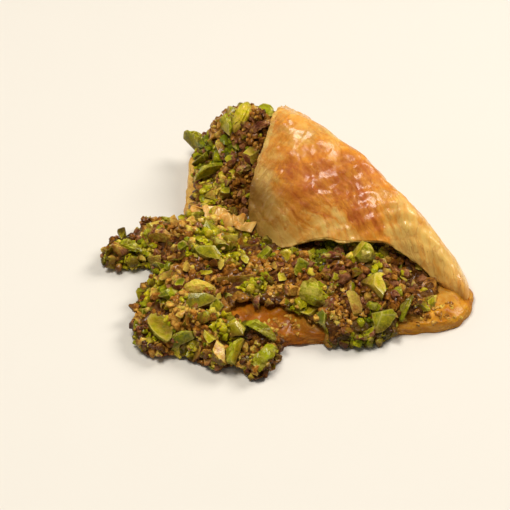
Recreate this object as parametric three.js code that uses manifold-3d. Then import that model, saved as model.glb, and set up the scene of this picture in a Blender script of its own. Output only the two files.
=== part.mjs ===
// A folded baklava piece: a square stack of thin pastry leaves laid flat, one corner folded over
// a heap of chopped pistachios, so that the fold stands open like a mussel shell on two sides.
//
// Working frame: u runs along the crease, from the open end to the closed tip, v runs from the
// crease out to the mouth, and z is up from the table. The part's frame has +X along u and +Y
// against v, with its origin under the middle of its bounding box. All sizes are in millimetres.

import * as THREE from "three";
import { mergeVertices } from "three/addons/utils/BufferGeometryUtils.js";
import Module from "manifold-3d";

const wasm = await Module();
wasm.setup();

// ---- Driving dimensions ----------------------------------------------------------------------
const creaseLength = 101; // open end of the crease to where the fold melts into the tip
const leafStack = 5; // thickness of the soaked bottom stack
const foldStack = 4.2; // thickness of the folded-over stack at its top
const rimStack = 2.3; // thickness of the same stack at its free edges
const foldSwell = 0.7; // unevenness of the fold's outer face
const foldStart = 0.1; // share of the fold's section that stays buried in the bottom stack
const foldStations = 28; // sections along the fold
const foldSteps = 18; // points across it
const fillingHollow = 1.6; // hollow left between the filling and the fold
const openSlope = 0.9; // how steeply the filling may rise in front of the fold
const clearance = 0.35; // gap between the filling and the pastry

// Corners of the bottom stack in (u, v): the crease's open end, the back corner, the front corner
// of the square and the tip.
const openEnd = new THREE.Vector2(0, 0.5);
const backCorner = new THREE.Vector2(-8, 26);
const frontCorner = new THREE.Vector2(57.5, 89);
const tipFront = new THREE.Vector2(107, 14);
const tipBack = new THREE.Vector2(99, 1.5);

// The fold's outer shape, section by section along the crease: where its top and its lower free
// edge stand, in v and z.
const foldSections = [
  { u: 0, topV: 12, topZ: 25, edgeV: 33, edgeZ: 9 },
  { u: 20, topV: 14.5, topZ: 31.5, edgeV: 37, edgeZ: 7.5 },
  { u: 36, topV: 11.5, topZ: 31.6, edgeV: 38.4, edgeZ: 6.8 },
  { u: 48, topV: 9.5, topZ: 30.2, edgeV: 37, edgeZ: 7.2 },
  { u: 57, topV: 8.5, topZ: 28.6, edgeV: 29.5, edgeZ: 12 },
  { u: 66, topV: 7.5, topZ: 26, edgeV: 25.5, edgeZ: 15.5 },
  { u: 75, topV: 7, topZ: 22, edgeV: 17.5, edgeZ: 16.4 },
  { u: 84, topV: 6.2, topZ: 16.6, edgeV: 12.5, edgeZ: 10.8 },
  { u: 90, topV: 5.6, topZ: 12.6, edgeV: 11, edgeZ: 7 },
  { u: 96, topV: 5.8, topZ: 8.8, edgeV: 10.5, edgeZ: 4.8 },
  { u: 102, topV: 7, topZ: 5.4, edgeV: 11, edgeZ: 4 },
];

// Where the fold's cut end stands along u, against the share of the way up from the crease.
const cutEnd = [
  { share: 0, u: 1.5 },
  { share: 0.26, u: 11 },
  { share: 0.52, u: 21 },
  { share: 0.68, u: 26 },
  { share: 0.86, u: 30 },
  { share: 0.96, u: 34 },
  { share: 1, u: 39 },
];

// The closed tip of the fold is solid from here on.
const solidTipStart = 87;
const tipRoundingBack = 4.5; // how far the tip is rounded back along the crease
const tipRoundingFront = 8; // and along the free edge

// The filling's outline in (u, v), in order round it.
const fillingOutline = [
  [-5.5, 25],
  [-4, 14],
  [-1, 5],
  [8, 2.8],
  [30, 2],
  [55, 2.2],
  [75, 3],
  [86, 8],
  [93, 13],
  [98.5, 18.5],
  [95.5, 28],
  [95.5, 36],
  [91.5, 45],
  [83, 49.5],
  [72, 52],
  [62, 57.5],
  [58, 65],
  [65, 68],
  [75, 61],
  [82, 69],
  [82, 76.5],
  [73, 77],
  [71, 83],
  [61, 85],
  [53, 94.5],
  [43, 92],
  [36, 85],
  [31, 76],
  [25, 69],
  [20, 76.5],
  [13, 79.5],
  [9, 74],
  [13, 66],
  [8, 59.5],
  [15, 54],
  [18.5, 48],
  [10.5, 40.5],
  [2.5, 33],
];

// Heaps that make up the filling's upper face: centre, height above the stack and half-widths.
const fillingHeaps = [
  { u: 27, v: 15, height: 20, halfU: 27, halfV: 16 },
  { u: 3, v: 21, height: 6.5, halfU: 11, halfV: 12 },
  { u: 62, v: 15, height: 12, halfU: 24, halfV: 13 },
  { u: 78, v: 33, height: 3, halfU: 14, halfV: 12 },
  { u: 30, v: 60, height: 6, halfU: 15, halfV: 12 },
  { u: 56, v: 80, height: 3.5, halfU: 17, halfV: 11 },
];
const fillingRim = 3.2; // height of the filling's edge above what it lies on
const fillingSlope = 7; // distance over which the filling rises from its edge
const spillHeight = 4.5; // height of the filling where it lies beside the pastry
const nutSpacing = 6.2; // spacing of the chopped nuts that stand out of the filling
const nutRelief = 2.6; // how far they stand out
const meshStep = 2.6; // spacing of the points on the filling's upper face

// ---- Helpers ---------------------------------------------------------------------------------
const mix = THREE.MathUtils.lerp;
const clamp = THREE.MathUtils.clamp;
const smooth = THREE.MathUtils.smoothstep;

// A smooth curve through rows of {[key]: x, ...}, read at x: cubic Hermite spans with slopes from
// the rows on both sides.
function readRows(rows, key, name, x) {
  const last = rows.length - 1;
  const at = clamp(x, rows[0][key], rows[last][key]);
  let i = 0;
  while (i < last - 1 && at > rows[i + 1][key]) i += 1;
  const slope = (k) => {
    const a = rows[Math.max(0, k - 1)];
    const b = rows[Math.min(last, k + 1)];
    return (b[name] - a[name]) / (b[key] - a[key]);
  };
  const span = rows[i + 1][key] - rows[i][key];
  const t = (at - rows[i][key]) / span;
  const t2 = t * t;
  const t3 = t2 * t;
  return (
    (2 * t3 - 3 * t2 + 1) * rows[i][name] +
    (t3 - 2 * t2 + t) * span * slope(i) +
    (3 * t2 - 2 * t3) * rows[i + 1][name] +
    (t3 - t2) * span * slope(i + 1)
  );
}

// Gentle unevenness, between -1 and 1.
function uneven(a, b, seed = 0) {
  return (
    0.5 * Math.sin(a * 0.21 + seed) * Math.cos(b * 0.17 - seed * 1.7) +
    0.3 * Math.sin(a * 0.47 - b * 0.31 + seed * 2.3) +
    0.2 * Math.cos(a * 0.83 + b * 0.71 + seed * 0.9)
  );
}

function toPart(u, v, z) {
  return [u, -v, z];
}

// A closed solid from a grid of outer points and the grid of inner points behind it: rows run
// along u, columns from the crease to the free edge.
function shellSolid(outer, inner) {
  const rows = outer.length;
  const columns = outer[0].length;
  const positions = [...outer.flat(), ...inner.flat()].flat();
  const indices = [];
  const near = (r, c) => r * columns + c;
  const far = (r, c) => rows * columns + r * columns + c;
  const quad = (a, b, c, d) => indices.push(a, b, c, a, c, d);
  for (let r = 0; r < rows - 1; r += 1) {
    for (let c = 0; c < columns - 1; c += 1) {
      quad(near(r, c), near(r, c + 1), near(r + 1, c + 1), near(r + 1, c));
      quad(far(r, c), far(r + 1, c), far(r + 1, c + 1), far(r, c + 1));
    }
    quad(near(r, 0), near(r + 1, 0), far(r + 1, 0), far(r, 0));
    quad(near(r, columns - 1), far(r, columns - 1), far(r + 1, columns - 1), near(r + 1, columns - 1));
  }
  for (let c = 0; c < columns - 1; c += 1) {
    quad(near(0, c), far(0, c), far(0, c + 1), near(0, c + 1));
    quad(near(rows - 1, c), near(rows - 1, c + 1), far(rows - 1, c + 1), far(rows - 1, c));
  }
  return toSolid(positions, indices);
}

function toSolid(positions, indices) {
  const geometry = new THREE.BufferGeometry();
  geometry.setAttribute("position", new THREE.Float32BufferAttribute(positions, 3));
  geometry.setIndex(indices);
  const merged = mergeVertices(geometry, 1e-4);
  const mesh = new wasm.Mesh({
    numProp: 3,
    vertProperties: merged.attributes.position.array,
    triVerts: new Uint32Array(merged.index.array),
  });
  const solid = new wasm.Manifold(mesh);
  if (solid.volume() <= 0) throw new Error("a solid is inside out");
  return solid;
}

// A solid from one of the library's own closed shapes.
function plainSolid(geometry) {
  geometry.deleteAttribute("normal");
  geometry.deleteAttribute("uv");
  const { attributes, index } = mergeVertices(geometry, 1e-4);
  return toSolid([...attributes.position.array], [...index.array]);
}

function toGeometry(solid) {
  const { vertProperties, triVerts, numProp } = solid.getMesh();
  const positions = [];
  for (let i = 0; i < vertProperties.length; i += numProp) {
    positions.push(vertProperties[i], vertProperties[i + 1], vertProperties[i + 2]);
  }
  const geometry = new THREE.BufferGeometry();
  geometry.setAttribute("position", new THREE.Float32BufferAttribute(positions, 3));
  geometry.setIndex([...triVerts]);
  geometry.computeVertexNormals();
  return geometry;
}

// ---- Bottom stack ----------------------------------------------------------------------------
// The bottom stack's outline as a closed loop of (u, v), its corners rounded.
function baseOutline(steps) {
  const corners = [openEnd, backCorner, frontCorner, tipFront, tipBack];
  const rounding = [3, 6, 12, 9.5, 3];
  const path = new THREE.Path();
  corners.forEach((corner, i) => {
    const before = corners[(i + corners.length - 1) % corners.length];
    const after = corners[(i + 1) % corners.length];
    const enter = corner.clone().add(before.clone().sub(corner).setLength(rounding[i]));
    const leave = corner.clone().add(after.clone().sub(corner).setLength(rounding[i]));
    if (i === 0) path.moveTo(enter.x, enter.y);
    else path.lineTo(enter.x, enter.y);
    path.quadraticCurveTo(corner.x, corner.y, leave.x, leave.y);
  });
  path.closePath();
  return path.getSpacedPoints(steps).slice(0, -1);
}

// The stack as rings from the outline's foot, round its soft edge and in over the top.
function bottomStack(grow) {
  const outline = baseOutline(80);
  const middle = new THREE.Vector2(46, 40);
  const height = leafStack + grow;
  const foot = grow > 0 ? -1 : 0;
  const rings = [
    { inset: 0.9 - grow, z: foot },
    { inset: 0 - grow, z: 1.3 },
    { inset: 0.2 - grow, z: height - 1.4 },
    { inset: 1.2 - grow, z: height - 0.3 },
    { inset: 4, z: height },
    { inset: 16, z: height },
  ];
  const positions = [];
  const indices = [];
  const count = outline.length;
  for (const { inset, z } of rings) {
    outline.forEach((point, i) => {
      const wobble = 0.9 * uneven(i * 2.6, i * 1.9, 4);
      const inward = middle.clone().sub(point).setLength(inset + wobble);
      const lift = z > 2 ? 0.35 * uneven(point.x, point.y, 1) : 0;
      positions.push(...toPart(point.x + inward.x, point.y + inward.y, z + lift));
    });
  }
  for (let r = 0; r < rings.length - 1; r += 1) {
    for (let i = 0; i < count; i += 1) {
      const j = (i + 1) % count;
      const [a, b, c, d] = [r * count + i, r * count + j, (r + 1) * count + j, (r + 1) * count + i];
      indices.push(a, b, c, a, c, d);
    }
  }
  const under = positions.length / 3;
  positions.push(...toPart(middle.x, middle.y, foot));
  positions.push(...toPart(middle.x, middle.y, height));
  const top = (rings.length - 1) * count;
  for (let i = 0; i < count; i += 1) {
    const j = (i + 1) % count;
    indices.push(j, i, under);
    indices.push(top + i, top + j, under + 1);
  }
  return toSolid(positions, indices);
}

// ---- Fold ------------------------------------------------------------------------------------
// Where the fold's outer line stands at the crease, in v.
function creaseLine(u) {
  return mix(0.6, tipBack.y + 2.5, smooth(u, 88, 104));
}

// The fold's outer line across one section, from under the crease over the top to the free edge.
function foldSection(u) {
  const read = (name) => readRows(foldSections, "u", name, u);
  const [topV, topZ, edgeV, edgeZ] = ["topV", "topZ", "edgeV", "edgeZ"].map(read);
  const back = creaseLine(u);
  return new THREE.SplineCurve([
    new THREE.Vector2(back + 7, 0.9),
    new THREE.Vector2(back + 2.2, 0.7),
    new THREE.Vector2(back - 0.4, 0.16 * topZ),
    new THREE.Vector2(back - 0.7, 0.45 * topZ),
    new THREE.Vector2(mix(back, topV, 0.34), 0.84 * topZ),
    new THREE.Vector2(topV, topZ),
    new THREE.Vector2(mix(topV, edgeV, 0.54), mix(topZ, edgeZ, 0.36)),
    new THREE.Vector2(edgeV, edgeZ),
  ]);
}

// How far along the crease the fold reaches: its tip is rounded off towards both sides.
function tipEnd(share) {
  const side = 2 * clamp((share - 0.25) / 0.75, 0, 1) - 1;
  const rounding = side > 0 ? tipRoundingFront : tipRoundingBack;
  return creaseLength - rounding * Math.abs(side) ** 2.4;
}

function foldPoint(along, share) {
  const u = mix(readRows(cutEnd, "share", "u", share), tipEnd(share), along);
  const at = foldSection(u).getPointAt(mix(foldStart, 1, share));
  const swell = foldSwell * uneven(u, share * 60, 2) * smooth(share, 0.15, 0.4) * smooth(-u, -100, -85);
  return new THREE.Vector3(...toPart(u, at.x, at.y + swell));
}

// The directions along the crease and across the fold at a point of it, and straight out of it.
function foldFrame(along, share) {
  const step = 0.004;
  const a = foldPoint(clamp(along - step, 0, 1), share);
  const b = foldPoint(clamp(along + step, 0, 1), share);
  const c = foldPoint(along, clamp(share - step, 0, 1));
  const d = foldPoint(along, clamp(share + step, 0, 1));
  const lengthwise = b.sub(a).normalize();
  const across = d.sub(c).normalize();
  return { lengthwise, across, out: across.clone().cross(lengthwise).normalize() };
}

function foldedStack(grow) {
  const outer = [];
  const inner = [];
  for (let r = 0; r <= foldStations; r += 1) {
    const along = r / foldStations;
    const outerRow = [];
    const innerRow = [];
    for (let c = 0; c <= foldSteps; c += 1) {
      const share = c / foldSteps;
      const { lengthwise, across, out } = foldFrame(along, share);
      const point = foldPoint(along, share);
      const cutRim = (1 - smooth(along, 0, 0.12)) * smooth(share, 0.2, 0.6);
      const rim = Math.max(smooth(share, 0.78, 1), cutRim);
      const height = readRows(foldSections, "u", "topZ", point.x);
      const thick = Math.min(mix(foldStack, rimStack, rim), 0.36 * height);
      if (r === 0) point.addScaledVector(lengthwise, -grow);
      if (c === foldSteps) point.addScaledVector(across, grow);
      outerRow.push(point.clone().addScaledVector(out, grow).toArray());
      innerRow.push(point.clone().addScaledVector(out, -thick - grow).toArray());
    }
    outer.push(outerRow);
    inner.push(innerRow);
  }
  return shellSolid(outer, inner);
}

// The closed tip: everything under the fold's outer line, down into the bottom stack.
function solidTip(grow) {
  const stations = 9;
  const steps = 14;
  const outer = [];
  const inner = [];
  for (let r = 0; r <= stations; r += 1) {
    const outerRow = [];
    const innerRow = [];
    for (let c = 0; c <= steps; c += 1) {
      const share = mix(0.34, 1, c / steps);
      const u = mix(solidTipStart - grow, tipEnd(share), r / stations);
      const at = foldSection(u).getPointAt(share);
      const v = at.x + (c === steps ? grow : 0);
      outerRow.push(toPart(u, v, at.y - 0.05));
      innerRow.push(toPart(u, v, 1));
    }
    outer.push(outerRow);
    inner.push(innerRow);
  }
  return shellSolid(outer, inner);
}

// ---- Filling ---------------------------------------------------------------------------------
// The greatest height of the filling at a place: under the fold it keeps clear of the fold's inner
// face, and in front of the fold's edges it rises again gently.
function ceiling(u, v) {
  const section = foldSection(clamp(u, 0, creaseLength));
  const samples = 48;
  const first = 18;
  let height = leafStack + fillingRim;
  let cut = cutEnd[0].u;
  for (let i = first; i < samples; i += 1) {
    const a = section.getPointAt(i / samples);
    const b = section.getPointAt((i + 1) / samples);
    if (v < a.x) continue;
    height = v <= b.x ? mix(a.y, b.y, (v - a.x) / (b.x - a.x)) : b.y + openSlope * (v - b.x);
    cut = readRows(cutEnd, "share", "u", (i / samples - foldStart) / (1 - foldStart));
  }
  return height - foldStack - fillingHollow + Math.max(0, cut - 2 - u);
}

// A repeatable value between 0 and 1 for a whole number.
function scatter(i, seed) {
  const x = Math.sin(i * 127.1 + seed * 311.7) * 43758.5453;
  return x - Math.floor(x);
}

const nutLumps = [];
for (let i = 0; i < 20; i += 1) {
  for (let j = 0; j < 18; j += 1) {
    const k = i * 18 + j;
    nutLumps.push({
      u: -12 + nutSpacing * (i + 0.9 * scatter(k, 1)),
      v: -2 + nutSpacing * (j + 0.9 * scatter(k, 2)),
      turn: Math.PI * scatter(k, 3),
      long: 3.2 + 2.6 * scatter(k, 4),
      wide: 2.4 + 1.2 * scatter(k, 5),
      height: nutRelief * (0.45 + 0.55 * scatter(k, 6)),
    });
  }
}

function nutRise(u, v) {
  let rise = 0;
  for (const lump of nutLumps) {
    const du = u - lump.u;
    const dv = v - lump.v;
    const a = (du * Math.cos(lump.turn) + dv * Math.sin(lump.turn)) / lump.long;
    const b = (dv * Math.cos(lump.turn) - du * Math.sin(lump.turn)) / lump.wide;
    rise = Math.max(rise, lump.height * (1 - a * a - b * b));
  }
  return rise;
}

function distanceToLoop(point, loop) {
  const nearest = new THREE.Vector3();
  const line = new THREE.Line3();
  let distance = Infinity;
  loop.forEach((start, i) => {
    line.set(start, loop[(i + 1) % loop.length]);
    line.closestPointToPoint(point, true, nearest);
    distance = Math.min(distance, nearest.distanceTo(point));
  });
  return distance;
}

// How far a place lies inside the bottom stack's outline, from 0 outside it to 1 well inside.
function overStack(u, v) {
  const loop = baseOutline(60);
  const point = new THREE.Vector2(u, v);
  const inside = loop.reduce((sum, a, i) => {
    const b = loop[(i + 1) % loop.length];
    const crosses = a.y > v !== b.y > v && u < mix(a.x, b.x, (v - a.y) / (b.y - a.y));
    return crosses ? !sum : sum;
  }, false);
  const nearest = Math.min(...loop.map((at) => at.distanceTo(point)));
  return smooth(inside ? nearest : -nearest, -6, 3);
}

function fillingHeight(u, v, inward) {
  const heaps = fillingHeaps.reduce((sum, heap) => {
    const du = (u - heap.u) / heap.halfU;
    const dv = (v - heap.v) / heap.halfV;
    return sum + heap.height * Math.exp(-du * du - dv * dv);
  }, 0);
  const rise = smooth(inward, 0, fillingSlope);
  const bed = mix(spillHeight - fillingRim, leafStack, overStack(u, v));
  const heap = bed + fillingRim + heaps * rise + nutRise(u, v) * (0.3 + 0.7 * rise);
  return Math.max(leafStack + 1, Math.min(heap, ceiling(u, v)));
}

// A block with the filling's upper face, cut to the filling's outline.
function fillingHeap() {
  const curve = new THREE.CatmullRomCurve3(
    fillingOutline.map(([u, v]) => new THREE.Vector3(u, v, 0)),
    true,
    "centripetal",
  );
  const loop = curve.getSpacedPoints(100).slice(0, -1);
  const across = 44;
  const deep = 40;
  const top = [];
  const floor = [];
  for (let i = 0; i < across; i += 1) {
    const topRow = [];
    const floorRow = [];
    for (let j = 0; j < deep; j += 1) {
      const k = i * deep + j;
      const u = -12 + meshStep * (i + 0.5 * (scatter(k, 7) - 0.5));
      const v = -1 + meshStep * (j + 0.5 * (scatter(k, 8) - 0.5));
      const inward = distanceToLoop(new THREE.Vector3(u, v, 0), loop);
      topRow.push(toPart(u, v, fillingHeight(u, v, inward)));
      floorRow.push(toPart(u, v, 0));
    }
    top.push(topRow);
    floor.push(floorRow);
  }
  const shape = new THREE.Shape(loop.map((at) => new THREE.Vector2(at.x, -at.y)));
  const prism = new THREE.ExtrudeGeometry(shape, { depth: 60, bevelEnabled: false });
  return shellSolid(top, floor).intersect(plainSolid(prism.translate(0, 0, -5)));
}

// ---- Assembly --------------------------------------------------------------------------------
const underTable = plainSolid(new THREE.BoxGeometry(400, 400, 50).translate(0, 0, -25));
const pastrySolid = bottomStack(0).add(foldedStack(0)).add(solidTip(0)).subtract(underTable);
const fillingSolid = fillingHeap()
  .subtract(bottomStack(clearance))
  .subtract(foldedStack(clearance))
  .subtract(solidTip(clearance));

const crust = new THREE.MeshStandardMaterial({ color: 0xd9a45a, roughness: 0.42, metalness: 0 });
const nuts = new THREE.MeshStandardMaterial({ color: 0x7d7a2c, roughness: 0.5, metalness: 0 });

const pastry = new THREE.Mesh(toGeometry(pastrySolid), crust);
pastry.name = "pastry";
const filling = new THREE.Mesh(toGeometry(fillingSolid), nuts);
filling.name = "filling";

const baklava = new THREE.Group();
baklava.add(pastry, filling);
const box = new THREE.Box3().setFromObject(baklava);
const centre = box.getCenter(new THREE.Vector3());
baklava.position.set(-centre.x, -centre.y, -box.min.z);

export default baklava;
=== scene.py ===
import math

import bpy
import numpy as np
from mathutils import Matrix, Vector, noise
from mathutils.bvhtree import BVHTree
from mathutils.kdtree import KDTree


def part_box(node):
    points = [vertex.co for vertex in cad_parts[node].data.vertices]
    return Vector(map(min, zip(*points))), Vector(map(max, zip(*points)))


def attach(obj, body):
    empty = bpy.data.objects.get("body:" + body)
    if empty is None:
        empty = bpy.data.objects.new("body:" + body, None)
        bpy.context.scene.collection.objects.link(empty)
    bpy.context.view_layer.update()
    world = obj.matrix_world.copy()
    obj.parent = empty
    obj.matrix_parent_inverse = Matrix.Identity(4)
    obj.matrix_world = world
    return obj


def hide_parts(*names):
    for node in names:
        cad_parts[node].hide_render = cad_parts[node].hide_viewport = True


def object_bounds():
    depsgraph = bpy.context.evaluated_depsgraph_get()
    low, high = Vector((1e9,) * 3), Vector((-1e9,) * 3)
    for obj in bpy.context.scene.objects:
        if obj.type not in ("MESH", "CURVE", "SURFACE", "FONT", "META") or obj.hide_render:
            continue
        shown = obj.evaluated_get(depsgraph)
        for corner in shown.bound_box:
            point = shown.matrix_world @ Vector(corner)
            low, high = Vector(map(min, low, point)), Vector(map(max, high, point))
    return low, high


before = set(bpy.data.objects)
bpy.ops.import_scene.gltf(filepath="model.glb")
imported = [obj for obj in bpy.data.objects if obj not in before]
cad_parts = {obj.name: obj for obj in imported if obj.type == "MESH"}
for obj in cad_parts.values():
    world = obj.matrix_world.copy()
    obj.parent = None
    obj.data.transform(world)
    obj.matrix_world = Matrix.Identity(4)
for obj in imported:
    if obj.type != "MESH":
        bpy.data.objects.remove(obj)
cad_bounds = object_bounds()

bl_info = {
    "name": "Folded baklava piece",
    "version": (1, 0, 0),
    "blender": (4, 5, 0),
    "location": "3D View > Sidebar > Baklava",
    "description": "Builds a folded filo pastry with chopped pistachios around its packed solids",
    "category": "Add Mesh",
}

# ---- Places ----------------------------------------------------------------------------------
# Shapes are worked out in millimetres in the crease's own directions: u from the open end of the
# crease to the closed tip, v from the crease out to the mouth, z up.
MM = 0.001
CREASE_LENGTH = 101.0
PASTRY_REACH = 105.06
CREASE_BULGE = 0.5
_, pastry_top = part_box("pastry")
ORIGIN_X = pastry_top.x / MM - PASTRY_REACH
ORIGIN_Y = pastry_top.y / MM - CREASE_BULGE

LEAF_STACK = 5.0
FOLD_STACK = 4.2
FOLD_RIM = 1.7
FOLD_START = 0.1
TIP_ROUNDING_BACK = 4.5
TIP_ROUNDING_FRONT = 8.0
# The fold's closed tip rounds down to its nose: how long that is, and v and z of its middle.
NOSE_LENGTH = 4.0
NOSE_V = 7.0
NOSE_Z = 2.4
BLISTER_COUNT = 34
BOTTOM_LEAVES = 8
# The crumb, in metres: how far its core lies under the heap's outline, how fine its mesh is, and how
# thickly it covers the bottom stack where the heap thins out.
CRUMB_DEPTH = 0.0012
CRUMB_GRAIN = 0.0008
CRUMB_COVER = 0.0008
# A height over everything, from which rays look down.
HIGH = 60.0
UP = Vector((0, 0, 1))

# The fold's top and free edge, section by section: u, then v and z of the top and of the edge.
FOLD_SECTIONS = (
    (0, 12, 25, 33, 9),
    (20, 14.5, 31.5, 37, 7.5),
    (36, 11.5, 31.6, 38.4, 6.8),
    (48, 9.5, 30.2, 37, 7.2),
    (57, 8.5, 28.6, 29.5, 12),
    (66, 7.5, 26, 25.5, 15.5),
    (75, 7, 22, 17.5, 16.4),
    (84, 6.2, 16.6, 12.5, 10.8),
    (90, 5.6, 12.6, 11, 7),
    (96, 5.8, 8.8, 10.5, 4.8),
    (102, 7, 5.4, 11, 4),
)
# The fold's cut end: share of the way across the fold, then u.
CUT_END = ((0, 1.5), (0.26, 11), (0.52, 21), (0.68, 26), (0.86, 30), (0.96, 34), (1, 39))

# The bottom stack's corners in u and v, with the rounding of each.
BASE_CORNERS = (
    (0, 0.5, 3),
    (-8, 26, 6),
    (57.5, 89, 12),
    (107, 14, 9.5),
    (99, 1.5, 3),
)
BASE_MIDDLE = np.array([46.0, 40.0])
# The line of the fold's back: v at the open end, then at the tip.
BACK_START = 0.6
BACK_END = BASE_CORNERS[4][1] + 2.5

# The camera circles a point of the table and looks at another, both counted from the CAD's middle.
CIRCLED_OFFSET = Vector((0.0047, 0.0383, 0))
TARGET_OFFSET = Vector((-0.0008, 0, -0.006))
# Lights: how far to the camera's right, away from it and up from the middle, width, power, colour.
LIGHTS = (
    ("overhead", -0.20, -0.06, 0.88, 0.40, 6.1, (1.0, 0.95, 0.87)),
    ("right", 0.62, 0.42, 0.70, 0.5, 7.6, (1.0, 0.95, 0.88)),
    ("left", -0.75, 0.05, 0.35, 0.5, 0.5, (1.0, 0.96, 0.90)),
)


def to_metres(places):
    """Places in the crease's directions, in millimetres, as points of the part, in metres."""
    u, v, z = np.moveaxis(np.asarray(places, float), -1, 0)
    return np.stack([ORIGIN_X + u, ORIGIN_Y - v, z], axis=-1) * MM


def smooth(x, low, high):
    """A soft step from 0 at low to 1 at high."""
    t = np.clip((np.asarray(x, float) - low) / (high - low), 0, 1)
    return t * t * (3 - 2 * t)


def mix(a, b, t):
    """The value at t on the way from a to b."""
    return a + (b - a) * t


def uneven(a, b, seed=0.0):
    """The slow unevenness of hand-folded pastry, between -1 and 1."""
    return (
        0.5 * np.sin(a * 0.21 + seed) * np.cos(b * 0.17 - seed * 1.7)
        + 0.3 * np.sin(a * 0.47 - b * 0.31 + seed * 2.3)
        + 0.2 * np.cos(a * 0.83 + b * 0.71 + seed * 0.9)
    )


def waves(a, b, size_a, size_b, seed):
    """Irregular waves between about -1 and 1, size_a and size_b wide in the two directions."""
    a, b = np.broadcast_arrays(a, b)
    depth = seed * 7.31
    flat = [
        noise.noise((x / size_a, y / size_b, depth)) for x, y in zip(a.ravel(), b.ravel())
    ]
    return np.array(flat).reshape(a.shape) * 1.5


def creases(a, b, size_a, size_b, seed):
    """Thin sharp ridges, from 0 between them to 1 on them."""
    return np.clip(1 - 2.2 * np.abs(waves(a, b, size_a, size_b, seed)), 0, 1) ** 2


def read_rows(rows, column, x):
    """A smooth curve through one column of rows, whose first column is the place to read at."""
    table = np.array(rows, float)
    xs, ys = table[:, 0], table[:, column]
    index = np.arange(len(xs))
    before, after = np.maximum(index - 1, 0), np.minimum(index + 1, index[-1])
    at = np.clip(x, xs[0], xs[-1])
    i = np.clip(np.searchsorted(xs, at, side="right") - 1, 0, len(xs) - 2)
    slope = (ys[after] - ys[before]) / (xs[after] - xs[before])
    span = xs[i + 1] - xs[i]
    t = (at - xs[i]) / span
    return (
        (2 * t**3 - 3 * t**2 + 1) * ys[i]
        + (t**3 - 2 * t**2 + t) * span * slope[i]
        + (3 * t**2 - 2 * t**3) * ys[i + 1]
        + (t**3 - t**2) * span * slope[i + 1]
    )


# ---- Shape of the fold -----------------------------------------------------------------------
def fold_line(u, share):
    """v and z on the fold's outer face: at u along the crease, share of the way across."""
    u, share = np.broadcast_arrays(u, share)
    shape = u.shape
    u, share = u.ravel(), mix(FOLD_START, 1, share.ravel())
    top_v, top_z, edge_v, edge_z = (read_rows(FOLD_SECTIONS, k, u) for k in (1, 2, 3, 4))
    back = mix(BACK_START, BACK_END, smooth(u, 88, 104))
    knots = np.array([
        (back + 7, 0 * u + 0.9),
        (back + 2.2, 0 * u + 0.7),
        (back - 0.4, 0.16 * top_z),
        (back - 0.7, 0.45 * top_z),
        (mix(back, top_v, 0.34), 0.84 * top_z),
        (top_v, top_z),
        (mix(top_v, edge_v, 0.54), mix(top_z, edge_z, 0.36)),
        (edge_v, edge_z),
    ])
    last = len(knots) - 1
    t = np.linspace(0, last, last * 10 + 1)
    i = np.minimum(t.astype(int), last - 1)
    w = (t - i)[:, None, None]
    p0, p1, p2, p3 = knots[np.maximum(i - 1, 0)], knots[i], knots[i + 1], knots[np.minimum(i + 2, last)]
    slope_in, slope_out = (p2 - p0) * 0.5, (p3 - p1) * 0.5
    curve = (
        (2 * p1 - 2 * p2 + slope_in + slope_out) * w**3
        + (-3 * p1 + 3 * p2 - 2 * slope_in - slope_out) * w**2
        + slope_in * w
        + p1
    )
    steps = np.linalg.norm(np.diff(curve, axis=0), axis=1)
    lengths = np.vstack([np.zeros(len(u)), np.cumsum(steps, axis=0)])
    target = share * lengths[-1]
    k = np.clip((lengths <= target).sum(0) - 1, 0, len(t) - 2)
    column = np.arange(len(u))
    part = (target - lengths[k, column]) / steps[k, column]
    line = mix(curve[k, :, column], curve[k + 1, :, column], part[:, None])
    return line.reshape(shape + (2,))


def fold_places(u, share):
    """The fold's outer face before its fine relief."""
    u, share = np.broadcast_arrays(u, share)
    line = fold_line(u, share)
    swell = 0.7 * uneven(u, share * 60, 2) * smooth(share, 0.15, 0.4) * smooth(-u, -100, -85)
    return np.stack([u, line[..., 0], line[..., 1] + swell], axis=-1)


def cut_end(share):
    """Where the fold's open end stands along the crease."""
    return read_rows(CUT_END, 1, np.clip(share, 0, 1))


def tip_end(share):
    """How far along the crease the fold reaches."""
    side = 2 * np.clip((share - 0.25) / 0.75, 0, 1) - 1
    rounding = np.where(side > 0, TIP_ROUNDING_FRONT, TIP_ROUNDING_BACK)
    return CREASE_LENGTH - rounding * np.abs(side) ** 2.4


def outward(places):
    """Unit normals of a sheet of places: rows run along the crease, columns across the fold."""
    normal = np.cross(np.gradient(places, axis=0), np.gradient(places, axis=1))
    return normal / np.maximum(np.linalg.norm(normal, axis=-1, keepdims=True), 1e-9)


# How far it is across the fold, at stations along the crease.
FOLD_STATIONS = np.linspace(-10, 110, 31)
FOLD_LINES = fold_line(FOLD_STATIONS[:, None], np.linspace(0, 1, 60)[None, :])
FOLD_LENGTHS = np.linalg.norm(np.diff(FOLD_LINES, axis=1), axis=-1).sum(1)


def fold_arc(u, share):
    """How far across the sheet a share lies, in millimetres."""
    return share * np.interp(u, FOLD_STATIONS, FOLD_LENGTHS)


def fold_thickness(u, share, from_cut):
    """The folded stack's thickness: thinner at its free edges and where the fold is low."""
    cut_rim = (1 - smooth(from_cut, 0, 9)) * smooth(share, 0.2, 0.6)
    rim = np.maximum(smooth(share, 0.78, 1), cut_rim)
    return np.minimum(mix(FOLD_STACK, FOLD_RIM, rim), 0.34 * read_rows(FOLD_SECTIONS, 2, u))


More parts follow.
